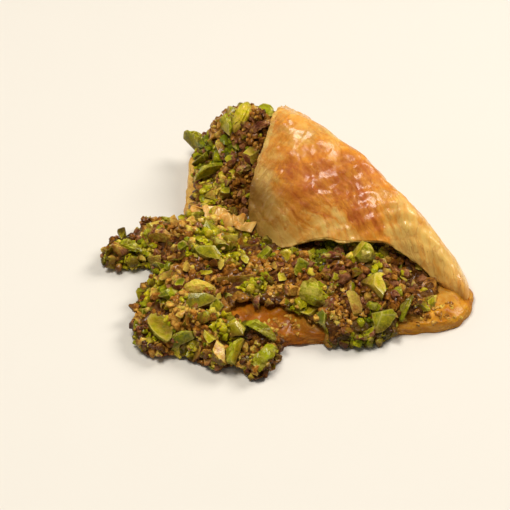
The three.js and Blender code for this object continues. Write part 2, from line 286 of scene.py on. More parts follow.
def blisters(a, b, rng):
    """Raised bubbles in the top leaf, each at its own place, with its radius and height."""
    rise = np.zeros(np.broadcast(a, b).shape)
    for _ in range(BLISTER_COUNT):
        middle_a, middle_b = rng.uniform(22, 96), rng.uniform(20, 66)
        radius, height = rng.uniform(1.2, 3.0), rng.uniform(0.15, 0.45)
        reach = ((a - middle_a) ** 2 + (b - middle_b) ** 2) / radius**2
        rise = np.maximum(rise, height * np.clip(1 - reach, 0, 1) ** 1.5)
    return rise


def fold_relief(u, share, from_cut):
    """Height of the baked top leaf's dents, wrinkles and blisters."""
    arc = fold_arc(u, share)
    near_mouth = smooth(share, 0.5, 0.85)
    near_cut = 1 - smooth(from_cut, 2, 20)
    calm_tip = 1 - 0.6 * smooth(u, 74, 90)
    broken = smooth(waves(u, arc, 16, 9, 10), -0.3, 0.5)
    relief = 0.55 * waves(u, arc, 14, 11, 3)
    relief += 0.22 * waves(u, arc, 5, 6, 4)
    wrinkles = creases(u, arc + 4 * waves(u, arc, 20, 20, 5), 24, 3.2, 6)
    relief += mix(0.05, 0.24, near_mouth) * calm_tip * broken * wrinkles
    relief += 0.36 * near_cut * creases(u, arc + 3 * waves(u, arc, 15, 15, 7), 2.4, 17, 8)
    relief += 0.10 * waves(u, arc, 1.6, 1.3, 9)
    relief += blisters(u, arc, np.random.default_rng(11))
    return relief * smooth(share, 0.05, 0.2)


def fold_bake(u, share, from_cut):
    """How browned the fold is: orange on the dome, brown streaks over the mouth, pale at its rims."""
    arc = fold_arc(u, share)
    dome = smooth(share, 0.22, 0.40) * (1 - smooth(share, 0.66, 0.86)) * (1 - smooth(u, 58, 90))
    band = np.exp(-(((share - 0.84) / 0.09) ** 2)) * smooth(u, 34, 50) * (1 - smooth(u, 76, 90))
    streaks = creases(u, arc + 2.5 * waves(u, arc, 14, 14, 23), 26, 2.8, 24)
    pale_end = 0.30 * (1 - smooth(from_cut, 0, 14)) + 0.34 * smooth(u, 68, 86)
    patches = 0.42 * waves(u, arc, 19, 10, 21) + 0.26 * waves(u, arc, 7, 4, 22)
    bake = 0.30 + 0.34 * dome + band * (0.10 + 0.45 * streaks) - pale_end
    return np.clip(bake + patches * (0.55 + 0.45 * dome), 0, 1)


def fold_soak(u, share):
    """How far syrup has darkened the fold: at the low corner, round the tip and along the back."""
    arc = fold_arc(u, share)
    corner = smooth(share, 0.70, 0.92) * (1 - smooth(u, 36, 58))
    tip = smooth(u, 78, 100) * smooth(share, 0.3, 0.8)
    back = 1 - smooth(share, 0.06, 0.2)
    patches = 0.35 * waves(u, arc, 11, 8, 26)
    return np.clip((1.0 + patches) * corner + (0.25 + patches) * tip + 0.6 * back, 0, 1)


# ---- Making meshes ---------------------------------------------------------------------------
def select_only(piece):
    """Makes piece the one thing that operators act on."""
    bpy.ops.object.select_all(action="DESELECT")
    piece.select_set(True)
    bpy.context.view_layer.objects.active = piece


def apply_modifier(piece, kind, **settings):
    """Adds a modifier with these settings to piece and applies it."""
    modifier = piece.modifiers.new(kind.title(), kind)
    for name, value in settings.items():
        setattr(modifier, name, value)
    select_only(piece)
    bpy.ops.object.modifier_apply(modifier=modifier.name)


def get_points(piece):
    """The piece's points as an array."""
    points = np.empty(len(piece.data.vertices) * 3)
    piece.data.vertices.foreach_get("co", points)
    return points.reshape(-1, 3)


def set_points(piece, points):
    """Moves the piece's points."""
    piece.data.vertices.foreach_set("co", np.asarray(points, float).ravel())
    piece.data.update()


def set_values(piece, name, values, domain="POINT"):
    """Stores one number for each point or face under name, for the materials to read."""
    attribute = piece.data.attributes.new(name, "FLOAT", domain)
    attribute.data.foreach_set("value", np.asarray(values, np.float32).ravel())


def sheet_piece(name, places, sheet_uv, values):
    """A grid primitive laid out over places, rows by columns, with its UV map and stored values."""
    rows, columns = places.shape[:2]
    bpy.ops.object.select_all(action="DESELECT")
    bpy.ops.mesh.primitive_grid_add(x_subdivisions=columns - 1, y_subdivisions=rows - 1, size=2)
    piece = bpy.context.object
    piece.name = name
    flat = get_points(piece)
    column = np.rint((flat[:, 0] + 1) / 2 * (columns - 1)).astype(int)
    row = np.rint((flat[:, 1] + 1) / 2 * (rows - 1)).astype(int)
    set_points(piece, to_metres(places)[row, column])
    corner = np.empty(len(piece.data.loops), int)
    piece.data.loops.foreach_get("vertex_index", corner)
    uv = sheet_uv[row, column][corner]
    piece.data.uv_layers.active.data.foreach_set("uv", uv.ravel())
    for kind, numbers in values.items():
        set_values(piece, kind, np.broadcast_to(numbers, (rows, columns))[row, column])
    return piece, row, column


def thicken(piece, thickness, row, column):
    """Gives a sheet its thickness, in millimetres, inwards from its outer face."""
    values = np.broadcast_to(thickness, (row.max() + 1, column.max() + 1))[row, column]
    most = float(values.max())
    group = piece.vertex_groups.new(name="thickness")
    for i, value in enumerate(values):
        group.add([i], float(value) / most, "REPLACE")
    apply_modifier(piece, "SOLIDIFY", thickness=most * MM, offset=-1.0, vertex_group="thickness")
    piece.vertex_groups.clear()


def mesh_piece(name, points, faces):
    """A piece from points in metres and faces."""
    mesh = bpy.data.meshes.new(name)
    mesh.from_pydata(np.asarray(points).tolist(), [], [list(map(int, face)) for face in faces])
    piece = bpy.data.objects.new(name, mesh)
    bpy.context.scene.collection.objects.link(piece)
    return piece


def finish_piece(piece, material, node, angle=None):
    """Smooths piece, gives it its material and ties it to the frame."""
    piece.data.materials.clear()
    piece.data.materials.append(material)
    select_only(piece)
    if angle is None:
        bpy.ops.object.shade_smooth()
    else:
        bpy.ops.object.shade_smooth_by_angle(angle=angle)
    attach(piece, "root")
    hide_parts(node)


# ---- Materials -------------------------------------------------------------------------------
def srgb(red, green, blue):
    """A colour given as it shows on a screen, from 0 to 255, for a shader."""
    values = [c / 255 for c in (red, green, blue)]
    return tuple(c / 12.92 if c <= 0.04045 else ((c + 0.055) / 1.055) ** 2.4 for c in values) + (1.0,)


def feed(tree, socket, value):
    """Sets a socket to a value, or links another node's output to it."""
    if isinstance(value, bpy.types.NodeSocket):
        tree.links.new(value, socket)
    else:
        socket.default_value = value


def add_node(tree, kind, inputs=None, **settings):
    """A node with its settings; an input is a value, or another node's output."""
    made = tree.nodes.new(kind)
    for name, value in settings.items():
        setattr(made, name, value)
    for name, value in (inputs or {}).items():
        feed(tree, made.inputs[name], value)
    return made


def math_node(tree, operation, a, b=0.0, clamp=False):
    """The result of a sum or the like on two values."""
    made = add_node(tree, "ShaderNodeMath", {0: a, 1: b}, operation=operation, use_clamp=clamp)
    return made.outputs[0]


def times(tree, a, b, clamp=False):
    """The product of two values."""
    return math_node(tree, "MULTIPLY", a, b, clamp)


def weighted(tree, total, *terms, clamp=False):
    """total plus each term's value times its weight."""
    for value, weight in terms:
        inputs = {0: value, 1: weight, 2: total}
        made = add_node(tree, "ShaderNodeMath", inputs, operation="MULTIPLY_ADD")
        total = made.outputs[0]
    made.use_clamp = clamp
    return total


def mix_colours(tree, factor, a, b, blend="MIX"):
    """Colour a turned towards b by factor."""
    inputs = {0: factor, 6: a, 7: b}
    return add_node(tree, "ShaderNodeMix", inputs, data_type="RGBA", blend_type=blend).outputs[2]


def ramp(tree, factor, stops):
    """A colour ramp through stops, each its place, then its red, green and blue."""
    made = add_node(tree, "ShaderNodeValToRGB", {"Fac": factor})
    elements = made.color_ramp.elements
    while len(elements) < len(stops):
        elements.new(0.5)
    for element, (place, *colour) in zip(elements, stops):
        element.position = place
        element.color = srgb(*colour)
    return made.outputs["Color"]


def value_range(tree, value, low, high, to_low, to_high):
    """value carried from one range to another and held there."""
    names = ("Value", "From Min", "From Max", "To Min", "To Max")
    inputs = dict(zip(names, (value, low, high, to_low, to_high)))
    return add_node(tree, "ShaderNodeMapRange", inputs).outputs["Result"]


def mix_values(tree, factor, a, b):
    """Value a turned towards b by factor."""
    return add_node(tree, "ShaderNodeMix", {0: factor, 2: a, 3: b}).outputs[0]


def stretched(tree, vector, scale):
    """vector with its pattern drawn out by scale in each direction."""
    return add_node(tree, "ShaderNodeMapping", {"Vector": vector, "Scale": scale}).outputs[0]


def noise_value(tree, vector, scale, detail=3.0, roughness=0.55, distortion=0.0):
    """A cloudy value from 0 to 1."""
    names = ("Vector", "Scale", "Detail", "Roughness", "Distortion")
    inputs = dict(zip(names, (vector, scale, detail, roughness, distortion)))
    return add_node(tree, "ShaderNodeTexNoise", inputs).outputs["Fac"]


def cell_pattern(tree, vector, scale, feature="F1"):
    """The outputs of a pattern of cells."""
    inputs = {"Vector": vector, "Scale": scale}
    return add_node(tree, "ShaderNodeTexVoronoi", inputs, feature=feature).outputs


def cell_value(tree, cells):
    """A value of its own for each cell."""
    return add_node(tree, "ShaderNodeSeparateColor", {"Color": cells["Color"]}).outputs[0]


FLOAT, VECTOR, COLOUR = "NodeSocketFloat", "NodeSocketVector", "NodeSocketColor"


def open_group(name, inputs):
    """An empty shader node group with its inputs; returns it and what the inputs give."""
    tree = bpy.data.node_groups.new(name, "ShaderNodeTree")
    for socket, kind, value in inputs:
        made = tree.interface.new_socket(socket, in_out="INPUT", socket_type=kind)
        if value is not None:
            made.default_value = value
    return tree, tree.nodes.new("NodeGroupInput").outputs


def close_group(tree, results):
    """Gives a node group its outputs, each its name, kind and value."""
    for socket, kind, _ in results:
        tree.interface.new_socket(socket, in_out="OUTPUT", socket_type=kind)
    end = tree.nodes.new("NodeGroupOutput")
    for socket, _, value in results:
        tree.links.new(value, end.inputs[socket])
    return tree


def leaf_crinkle_group(name):
    """Fine wrinkles, peeling flakes and tiny bubbles of a baked leaf, as a height and masks."""
    inputs = (
        ("Vector", VECTOR, None),
        ("Across", FLOAT, 0.0),
        ("Wrinkle Scale", FLOAT, 800.0),
        ("Flake Scale", FLOAT, 150.0),
        ("Bubble Scale", FLOAT, 600.0),
    )
    tree, given = open_group(name, inputs)
    vector = given["Vector"]
    folds = [
        noise_value(tree, stretched(tree, vector, scale), given["Wrinkle Scale"], 5.0, 0.62, 1.1)
        for scale in ((0.2, 1.0, 1.0), (1.0, 0.2, 1.0))
    ]
    fold = mix_values(tree, given["Across"], *folds)
    ridge = math_node(tree, "ABSOLUTE", math_node(tree, "SUBTRACT", fold, 0.5))
    wrinkled = value_range(tree, noise_value(tree, vector, 55.0, 3.0, 0.5, 0.8), 0.42, 0.64, 0.1, 1.0)
    crease = times(tree, value_range(tree, ridge, 0.0, 0.06, 1.0, 0.0), wrinkled)
    drift = add_node(tree, "ShaderNodeTexNoise", {"Vector": vector, "Scale": 260.0, "Detail": 4.0})
    shifted = add_node(
        tree,
        "ShaderNodeVectorMath",
        {0: drift.outputs["Color"], 1: (0.009, 0.009, 0.009), 2: vector},
        operation="MULTIPLY_ADD",
    )
    drawn = stretched(tree, shifted.outputs[0], (0.55, 1.0, 1.0))
    flake = cell_value(tree, cell_pattern(tree, drawn, given["Flake Scale"]))
    borders = cell_pattern(tree, drawn, given["Flake Scale"], "DISTANCE_TO_EDGE")
    border = value_range(tree, borders["Distance"], 0.0, 0.06, 1.0, 0.0)
    bubbles = cell_pattern(tree, vector, given["Bubble Scale"], "SMOOTH_F1")
    bubble = value_range(tree, bubbles["Distance"], 0.05, 0.35, 1.0, 0.0)
    terms = (fold, 0.6), (crease, 0.5), (bubble, 0.3), (flake, 0.5), (border, -0.3)
    height = weighted(tree, 0.0, *terms)
    lines = math_node(tree, "MAXIMUM", crease, times(tree, border, 0.7))
    results = ("Height", FLOAT, height), ("Creases", FLOAT, lines), ("Flakes", FLOAT, flake)
    return close_group(tree, results)


def bake_group(name):
    """The baked leaf's colour: from pale to brown, with blotches, then darkened by syrup."""
    inputs = (
        ("Vector", VECTOR, None),
        ("Bake", FLOAT, 0.5),
        ("Soak", FLOAT, 0.0),
        ("Creases", FLOAT, 0.0),
        ("Flakes", FLOAT, 0.5),
        ("Pale", COLOUR, srgb(240, 212, 150)),
        ("Golden", COLOUR, srgb(226, 170, 92)),
        ("Brown", COLOUR, srgb(190, 112, 44)),
        ("Syrup", COLOUR, srgb(150, 94, 24)),
    )
    tree, given = open_group(name, inputs)
    vector = given["Vector"]
    broad = noise_value(tree, stretched(tree, vector, (0.6, 1.0, 1.0)), 130.0, 6.0, 0.66, 1.8)
    fine = noise_value(tree, vector, 700.0, 5.0, 0.65, 0.6)
    terms = (given["Bake"], 1.0), (broad, 1.5), (fine, 0.5), (given["Flakes"], 0.22)
    bake = weighted(tree, -1.11, *terms)
    soak = times(tree, given["Soak"], value_range(tree, broad, 0.3, 0.7, 0.75, 1.1), True)
    specks = noise_value(tree, vector, 1500.0, 2.0, 0.5)
    layers = (
        (value_range(tree, bake, 0.02, 0.5, 0.0, 1.0), given["Golden"]),
        (value_range(tree, bake, 0.5, 1.0, 0.0, 1.0), given["Brown"]),
        (times(tree, given["Creases"], 0.5), given["Brown"]),
        (soak, given["Syrup"]),
        (value_range(tree, specks, 0.70, 0.76, 0.0, 0.55), srgb(110, 58, 14)),
    )
    colour = given["Pale"]
    for factor, layer in layers:
        colour = mix_colours(tree, factor, colour, layer)
    return close_group(tree, (("Color", COLOUR, colour),))


def syrup_group(name):
    """Where syrup lies on a surface: a roughness, and how thick the gloss is."""
    inputs = (("Vector", VECTOR, None), ("Scale", FLOAT, 160.0), ("Dry", FLOAT, 0.5), ("Wet", FLOAT, 0.2))
    tree, given = open_group(name, inputs)
    film = noise_value(tree, given["Vector"], given["Scale"], 4.0, 0.6, 0.4)
    wet = value_range(tree, film, 0.40, 0.60, 0.0, 1.0)
    rough = mix_values(tree, wet, given["Dry"], given["Wet"])
    gloss = value_range(tree, film, 0.38, 0.6, 0.1, 1.0)
    return close_group(tree, (("Roughness", FLOAT, rough), ("Gloss", FLOAT, gloss)))


GROUPS = {"Leaf crinkle": leaf_crinkle_group, "Baked colour": bake_group, "Syrup gloss": syrup_group}


def use_group(tree, name, inputs):
    """The outputs of a node group, which is made at its first use, with these inputs."""
    group = bpy.data.node_groups.get(name) or GROUPS[name](name)
    return add_node(tree, "ShaderNodeGroup", inputs, node_tree=group).outputs


def new_material(name):
    """An empty material with its shader and output; returns it, its tree and its shader."""
    material = bpy.data.materials.new(name)
    material.use_nodes = True
    tree = material.node_tree
    tree.nodes.clear()
    shader = tree.nodes.new("ShaderNodeBsdfPrincipled")
    add_node(tree, "ShaderNodeOutputMaterial", {"Surface": shader.outputs["BSDF"]})
    return material, tree, shader


def set_shader(tree, shader, **values):
    """Sets the shader's own sockets; words in a name are joined by underlines."""
    for name, value in values.items():
        feed(tree, shader.inputs[name.replace("_", " ")], value)


def bump(tree, height, distance, strength):
    """Fine relief from a height; distance is in metres."""
    inputs = {"Height": height, "Distance": distance, "Strength": strength}
    return add_node(tree, "ShaderNodeBump", inputs).outputs["Normal"]


def attribute(tree, name):
    """A value stored on the mesh."""
    return add_node(tree, "ShaderNodeAttribute", attribute_name=name).outputs["Fac"]


def object_place(tree):
    """The place on the part, in metres."""
    return tree.nodes.new("ShaderNodeTexCoord").outputs["Object"]


def sheet_place(tree):
    """The place on the sheet, in metres, from the sheet's own map, which counts centimetres."""
    uv = tree.nodes.new("ShaderNodeTexCoord").outputs["UV"]
    return stretched(tree, uv, (0.01, 0.01, 0.01))


def leaf_material(name, vector_of, settings, looks):
    """Baked leaves in a pattern laid out by vector_of; looks are the colours and the finish."""
    if name in bpy.data.materials:
        return bpy.data.materials[name]
    material, tree, shader = new_material(name)
    vector = vector_of(tree)
    crinkle = use_group(tree, "Leaf crinkle", {"Vector": vector, "Across": attribute(tree, "across")})
    inputs = {
        "Vector": vector,
        "Bake": attribute(tree, "bake"),
        "Soak": attribute(tree, "soak"),
        "Creases": crinkle["Creases"],
        "Flakes": crinkle["Flakes"],
        "Pale": (*settings.pale, 1.0),
        "Golden": (*looks["golden"], 1.0),
        "Brown": (*settings.brown, 1.0),
        "Syrup": (*looks["syrup"], 1.0),
    }
    colour = use_group(tree, "Baked colour", inputs)
    gloss_inputs = {"Vector": vector, "Scale": 150.0, "Dry": 0.5, "Wet": looks["wet"]}
    gloss = use_group(tree, "Syrup gloss", gloss_inputs)
    set_shader(
        tree,
        shader,
        Base_Color=colour["Color"],
        Roughness=gloss["Roughness"],
        Coat_Weight=times(tree, gloss["Gloss"], looks["coat"]),
        Coat_Roughness=0.16,
        Coat_IOR=1.35,
        Specular_IOR_Level=0.25 * looks["coat"],
        Subsurface_Weight=looks["subsurface"],
        Subsurface_Radius=(1.0, 0.55, 0.2),
        Subsurface_Scale=0.0016,
        Normal=bump(tree, crinkle["Height"], 0.00034, 0.6),
    )
    return material


def baked_leaf(settings):
    """Dry baked leaves."""
    looks = {
        "golden": settings.golden,
        "syrup": settings.syrup,
        "wet": 0.3,
        "coat": 1.0,
        "subsurface": 0.12,
    }
    return leaf_material("Baked leaf", sheet_place, settings, looks)


def soaked_leaf(settings):
    """Leaves at the bottom, glassy with syrup."""
    looks = {
        "golden": settings.bottom_golden,
        "syrup": settings.amber,
        "wet": 0.26,
        "coat": 0.5,
        "subsurface": 0.2,
    }
    return leaf_material("Soaked leaf", object_place, settings, looks)


def nut_material(settings):
    """Chopped pistachio: yellow to green flesh, purple and olive skin, soaked brown and darkened by
    painted shade where it sinks into the heap, paled by a painted highlight at cut rims.
    """
    name = "Chopped pistachio"
    if name in bpy.data.materials:
        return bpy.data.materials[name]
    material, tree, shader = new_material(name)
    vector = object_place(tree)
    kinds = ("tint", "shade", "flesh", "rim", "sunk_soak_and_shade")
    tint, shade, flesh, rim, sunk_soak_and_shade = (attribute(tree, kind) for kind in kinds)
    mottle = noise_value(tree, vector, 620.0, 4.0, 0.65)
    flesh_stops = (
        (0.00, 116, 128, 0),
        (0.16, 166, 166, 0),
        (0.34, 214, 200, 20),
        (0.50, 242, 216, 90),
        (0.64, 228, 176, 78),
        (0.80, 184, 120, 34),
        (1.00, 112, 64, 10),
    )
    mottled = weighted(tree, -0.45, (tint, 1.0), (mottle, 0.9), clamp=True)
    flesh_colour = ramp(tree, mottled, flesh_stops)
    # Painted highlight: cut rims of green flesh are paled towards light yellow, standing in for light
    # catching the edges.
    rim_highlight_reach = value_range(tree, rim, 0.78, 0.96, 0.0, 0.6)
    outline = times(tree, rim_highlight_reach, value_range(tree, tint, 0.45, 0.6, 1.0, 0.0))
    flesh_colour = mix_colours(tree, outline, flesh_colour, srgb(226, 212, 110))
    skin_stops = (
        (0.00, 118, 60, 34),
        (0.25, 182, 124, 82),
        (0.45, 124, 72, 20),
        (0.70, 132, 118, 6),
        (1.00, 168, 172, 14),
    )
    blush = noise_value(tree, vector, 260.0, 3.0, 0.6, 0.8)
    blushing = weighted(tree, -0.85, (shade, 1.0), (blush, 1.7), clamp=True)
    skin_colour = ramp(tree, blushing, skin_stops)
    worn = noise_value(tree, vector, 380.0, 4.0, 0.65, 0.5)
    bare = weighted(tree, 0.0, (flesh, 1.0), (worn, 1.1))
    is_flesh = value_range(tree, bare, 0.55, 0.72, 0.0, 1.0)
    colour = mix_colours(tree, is_flesh, skin_colour, flesh_colour)
    clouds = noise_value(tree, vector, 170.0, 4.0, 0.6, 0.5)
    depth = value_range(tree, sunk_soak_and_shade, 0.0, 0.7, 0.35, 1.0)
    stain = times(tree, value_range(tree, clouds, 0.42, 0.66, 0.0, 0.75), depth)
    soaked = mix_colours(tree, 1.0, colour, (*settings.soak, 1.0), "MULTIPLY")
    colour = mix_colours(tree, stain, colour, soaked)
    # Painted shade, together with syrup soak: pieces darken towards the dark crumb colour where they sink
    # into the heap, in place of the shade between them.
    colour = mix_colours(tree, times(tree, sunk_soak_and_shade, 0.82), colour, (*settings.dark_soak_and_shade_colour, 1.0))
    grain = noise_value(tree, vector, 1300.0, 4.0, 0.7)
    gloss = use_group(tree, "Syrup gloss", {"Vector": vector, "Scale": 240.0, "Dry": 0.6, "Wet": 0.35})
    set_shader(
        tree,
        shader,
        Base_Color=colour,
        Roughness=gloss["Roughness"],
        Coat_Weight=times(tree, gloss["Gloss"], 0.6),
        Coat_Roughness=0.12,
        Coat_IOR=1.42,
        Specular_IOR_Level=0.12,
        Subsurface_Weight=0.2,
        Subsurface_Radius=(1.0, 0.9, 0.2),
        Subsurface_Scale=0.0012,
        Normal=bump(tree, weighted(tree, grain, (mottle, 1.2)), 0.0008, 0.9),
    )
    return material


def crumb_material(settings):
    """The fine, syrup-soaked crumb that holds the chopped nuts, with painted shade darkening it between
    its clumps.
    """
    material, tree, shader = new_material("Soaked nut crumb")
    vector = object_place(tree)
    cells = cell_pattern(tree, vector, 700.0)
    clouds = noise_value(tree, vector, 260.0, 4.0, 0.6)
    stops = (
        (0.10, 96, 98, 8),
        (0.40, 142, 124, 22),
        (0.65, 160, 108, 34),
        (0.85, 112, 68, 16),
        (1.00, 76, 38, 10),
    )
    terms = (attribute(tree, "tint"), 1.0), (cell_value(tree, cells), 0.3), (clouds, 0.3)
    colour = ramp(tree, weighted(tree, -0.3, *terms, clamp=True), stops)
    # Painted shade: the crumb darkens towards the dark colour in the crevices between clumps.
    deep = times(tree, attribute(tree, "crevice_shade"), 0.85)
    height = weighted(tree, 0.0, (clouds, 0.6), (cells["Distance"], -1.0))
    gloss = use_group(tree, "Syrup gloss", {"Vector": vector, "Scale": 300.0, "Dry": 0.5, "Wet": 0.2})
    set_shader(
        tree,
        shader,
        Base_Color=mix_colours(tree, deep, colour, (*settings.dark_soak_and_shade_colour, 1.0)),
        Roughness=gloss["Roughness"],
        Coat_Weight=gloss["Gloss"],
        Coat_Roughness=0.14,
        Coat_IOR=1.3,
        Specular_IOR_Level=0.12,
        Normal=bump(tree, height, 0.0009, 0.9),
    )
    return material


def floor_material(settings):
    """A plain pale table."""
    material, tree, shader = new_material("Pale table")
    grain = noise_value(tree, object_place(tree), 40.0, 3.0, 0.5)
    deep = tuple(c * 0.985 for c in settings.floor_colour)
    colour = mix_colours(tree, grain, (*settings.floor_colour, 1.0), (*deep, 1.0))
    set_shader(tree, shader, Base_Color=colour, Roughness=0.45)
    return material


# ---- Nut shapes ------------------------------------------------------------------------------
def take_shape(piece, planes):
    """A piece's points, its triangles, which of them lie on cuts, and which points lie on a rim."""
    points = get_points(piece)
    corners, faces, flesh, middles = list(points), [], [], []
    for polygon in piece.data.polygons:
        ring = list(polygon.vertices)
        cut = any(
            all(abs(float(np.dot(points[i], normal)) - distance) < 1e-4 for i in ring)
            for normal, distance in planes
        )
        if len(ring) > 4:
            corners.append(points[ring].mean(0) - np.array(polygon.normal) * 0.05)
            middle = len(corners) - 1
            middles.append(middle)
            new = [(ring[k], ring[(k + 1) % len(ring)], middle) for k in range(len(ring))]
        else:
            new = [(ring[0], ring[k], ring[k + 1]) for k in range(1, len(ring) - 1)]
        faces += new
        flesh += [float(cut)] * len(new)
    bpy.data.objects.remove(piece)
    rim = np.full(len(corners), float(bool(planes)))
    rim[middles] = 0
    return np.array(corners), np.array(faces), np.array(flesh) if planes else np.ones(len(faces)), rim


def chop(piece, planes):
    """Cuts a piece along planes, in edit mode, and closes each cut."""
    select_only(piece)
    bpy.ops.object.mode_set(mode="EDIT")
    for normal, distance in planes:
        bpy.ops.mesh.select_all(action="SELECT")
        place = tuple(float(c) * distance for c in normal)
        bpy.ops.mesh.bisect(plane_co=place, plane_no=tuple(normal), use_fill=True, clear_outer=True)
    bpy.ops.object.mode_set(mode="OBJECT")


def random_direction(rng):
    """A direction, all of them as likely."""
    direction = rng.normal(size=3)
    return direction / np.linalg.norm(direction)


def cloud(points, scale, shift):
    """A cloudy value at each point."""
    return np.array([noise.noise(Vector(p * scale + shift)) for p in points])


def new_ball(detail):
    """A ball of radius 1, and its points."""
    bpy.ops.mesh.primitive_ico_sphere_add(subdivisions=detail, radius=1)
    return bpy.context.object, get_points(bpy.context.object)


def new_long_ball(segments, rings):
    """A ball of radius 1 with its poles on the X axis, and its points."""
    turn = (0, math.pi / 2, 0)
    bpy.ops.mesh.primitive_uv_sphere_add(segments=segments, ring_count=rings, radius=1, rotation=turn)
    bpy.ops.object.transform_apply(location=False, rotation=True, scale=False)
    return bpy.context.object, get_points(bpy.context.object)


def chopped_shape(rng, detail, cuts, slimness):
    """A chunk of a kernel about 1 long from its middle to its end, with knife cuts."""
    piece, points = new_ball(detail)
    shift = rng.uniform(0, 50, 3)
    bulge, bumps, fine = (cloud(points, scale, shift) for scale in (1.3, 3.1, 7))
    points *= 1 + (0.3 * bulge + 0.2 * bumps + 0.09 * fine)[:, None]
    points *= (1, slimness * rng.uniform(0.8, 1.1), slimness * rng.uniform(0.65, 1.0))
    set_points(piece, points)
    planes = []
    for _ in range(cuts):
        normal = random_direction(rng) * (1, 1, 0.8)
        normal /= np.linalg.norm(normal)
        planes.append((normal, float(rng.uniform(0.22, 0.5))))
    chop(piece, planes)
    return take_shape(piece, planes)


def kernel_shape(rng, halved):
    """A pistachio kernel, 2 long: pointed at one end, a seam round it, whole or split in two."""
    piece, points = new_long_ball(32, 18)
    x, y, z = points.T
    taper = 1 - 0.16 * x - 0.3 * np.abs(x) ** 3
    seam = 1 - 0.10 * np.exp(-((z / 0.10) ** 2)) * (np.abs(x) < 0.97)
    shift = np.array([rng.uniform(0, 50), 0, 0])
    wrinkled = 1 + 0.24 * cloud(points, np.array([2.2, 4.5, 4.5]), shift)
    crooked = 0.07 * np.sin(x * 2.2 + rng.uniform(0, 6))
    y = y * 0.45 * taper * seam * wrinkled + crooked
    set_points(piece, np.stack([x, y, z * 0.42 * taper * wrinkled], axis=1))
    planes = [(np.array([0.0, 0.0, 1.0]), 0.02)] if halved else []
    chop(piece, planes)
    return take_shape(piece, planes)


def granule_shape(rng, detail, knobble):
    """A bumpy crumb, about 1 from its middle to its end."""
    piece, points = new_ball(detail)
    shift = rng.uniform(0, 50, 3)
    bulge, bumps = (cloud(points, scale, shift) for scale in (1.15, 2.6))
    points *= 1 + knobble * (1.1 * bulge + 0.8 * bumps)[:, None]
    points *= rng.uniform(0.55, 1.0, 3)
    set_points(piece, points / np.abs(points).max())
    apply_modifier(piece, "DECIMATE", ratio=0.6)
    return take_shape(piece, [])


def sliver_shape(rng, cuts):
    """A long chunk of kernel: skin on its outside and one or more lengthwise cuts."""
    piece, points = new_long_ball(28, 20)
    x, y, z = points.T
    taper = 1 - 0.2 * x - 0.16 * x**2
    shift = np.array([rng.uniform(0, 50), 0, 0])
    wrinkle = cloud(points, np.array([2.2, 3.5, 3.5]), shift)
    wrinkle += 0.5 * cloud(points, np.array([6, 8, 8]), shift)
    wrinkled = 1 + 0.34 * wrinkle
    set_points(piece, np.stack([x, y * 0.54 * taper * wrinkled, z * 0.48 * taper * wrinkled], axis=1))
    planes = []
    for k in range(cuts):
        angle = rng.uniform(0, 2 * math.pi) if k == 0 else angle + rng.uniform(1.4, 2.4)
        normal = np.array([rng.normal(0, 0.16), math.cos(angle), math.sin(angle)])
        planes.append((normal / np.linalg.norm(normal), float(rng.uniform(0.02, 0.16))))
    if rng.random() < 0.5:
        normal = np.array([1.0, rng.normal(0, 0.4), rng.normal(0, 0.4)])
        planes.append((normal / np.linalg.norm(normal), float(rng.uniform(0.35, 0.7))))
    chop(piece, planes)
    return take_shape(piece, planes)


def flake_shape(rng):
    """A scrap of papery skin, about 2 across, curled."""
    bpy.ops.mesh.primitive_grid_add(x_subdivisions=6, y_subdivisions=5, size=2)
    piece = bpy.context.object
    x, y, _ = get_points(piece).T
    frayed = [noise.noise((a * 1.6, b * 1.6, rng.uniform(0, 0.01))) for a, b in zip(x, y)]
    ragged = 1 + 0.25 * np.array(frayed)
    round_off = 1 / np.maximum(np.sqrt(x**2 + y**2), 1)
    bend = rng.uniform(0.25, 0.6) * (x**2 - 0.4) + 0.15 * y * x
    set_points(piece, np.stack([x * round_off * ragged, y * round_off * ragged * 0.7, bend], axis=1))
    apply_modifier(piece, "SOLIDIFY", thickness=0.07, offset=0.0)
    return take_shape(piece, [])


def turned(rng, normal, tilt):
    """A turn that lays a piece's long side along a surface, with some tilt."""
    up = Vector(normal) + Vector(random_direction(rng)) * tilt
    turn = up.to_track_quat("Z", "Y").to_matrix() @ Matrix.Rotation(rng.uniform(0, 2 * math.pi), 3, "Z")
    roll = Matrix.Rotation(rng.uniform(-0.8, 0.8) * tilt * 2, 3, "X")
    return np.array(turn @ roll)


def triangles_of(piece):
    """A piece's points, triangles, face normals and areas, and a tree for finding places on it."""
    mesh = piece.data
    points = get_points(piece)
    mesh.calc_loop_triangles()
    faces = np.array([t.vertices for t in mesh.loop_triangles])
    a, b, c = points[faces[:, 0]], points[faces[:, 1]], points[faces[:, 2]]
    cross = np.cross(b - a, c - a)
    size = np.linalg.norm(cross, axis=1)
    tree = BVHTree.FromPolygons(points.tolist(), faces.tolist())
    return points, faces, cross / np.maximum(size, 1e-12)[:, None], size / 2, tree


# What the clumps are: share of them, tint of their flesh, how far it strays, share that is skin.
CLUMP_KINDS = {
    "golden": (0.24, 0.70, 0.10, 0.04),
    "brown": (0.24, 0.86, 0.08, 0.15),
    "olive": (0.14, 0.46, 0.20, 0.30),
    "green": (0.18, 0.30, 0.12, 0.03),
    "deep": (0.08, 0.10, 0.10, 0.12),
    "purple": (0.12, 0.84, 0.10, 0.5),
    "bare": (0.0, 0.70, 0.05, 0.0),
}
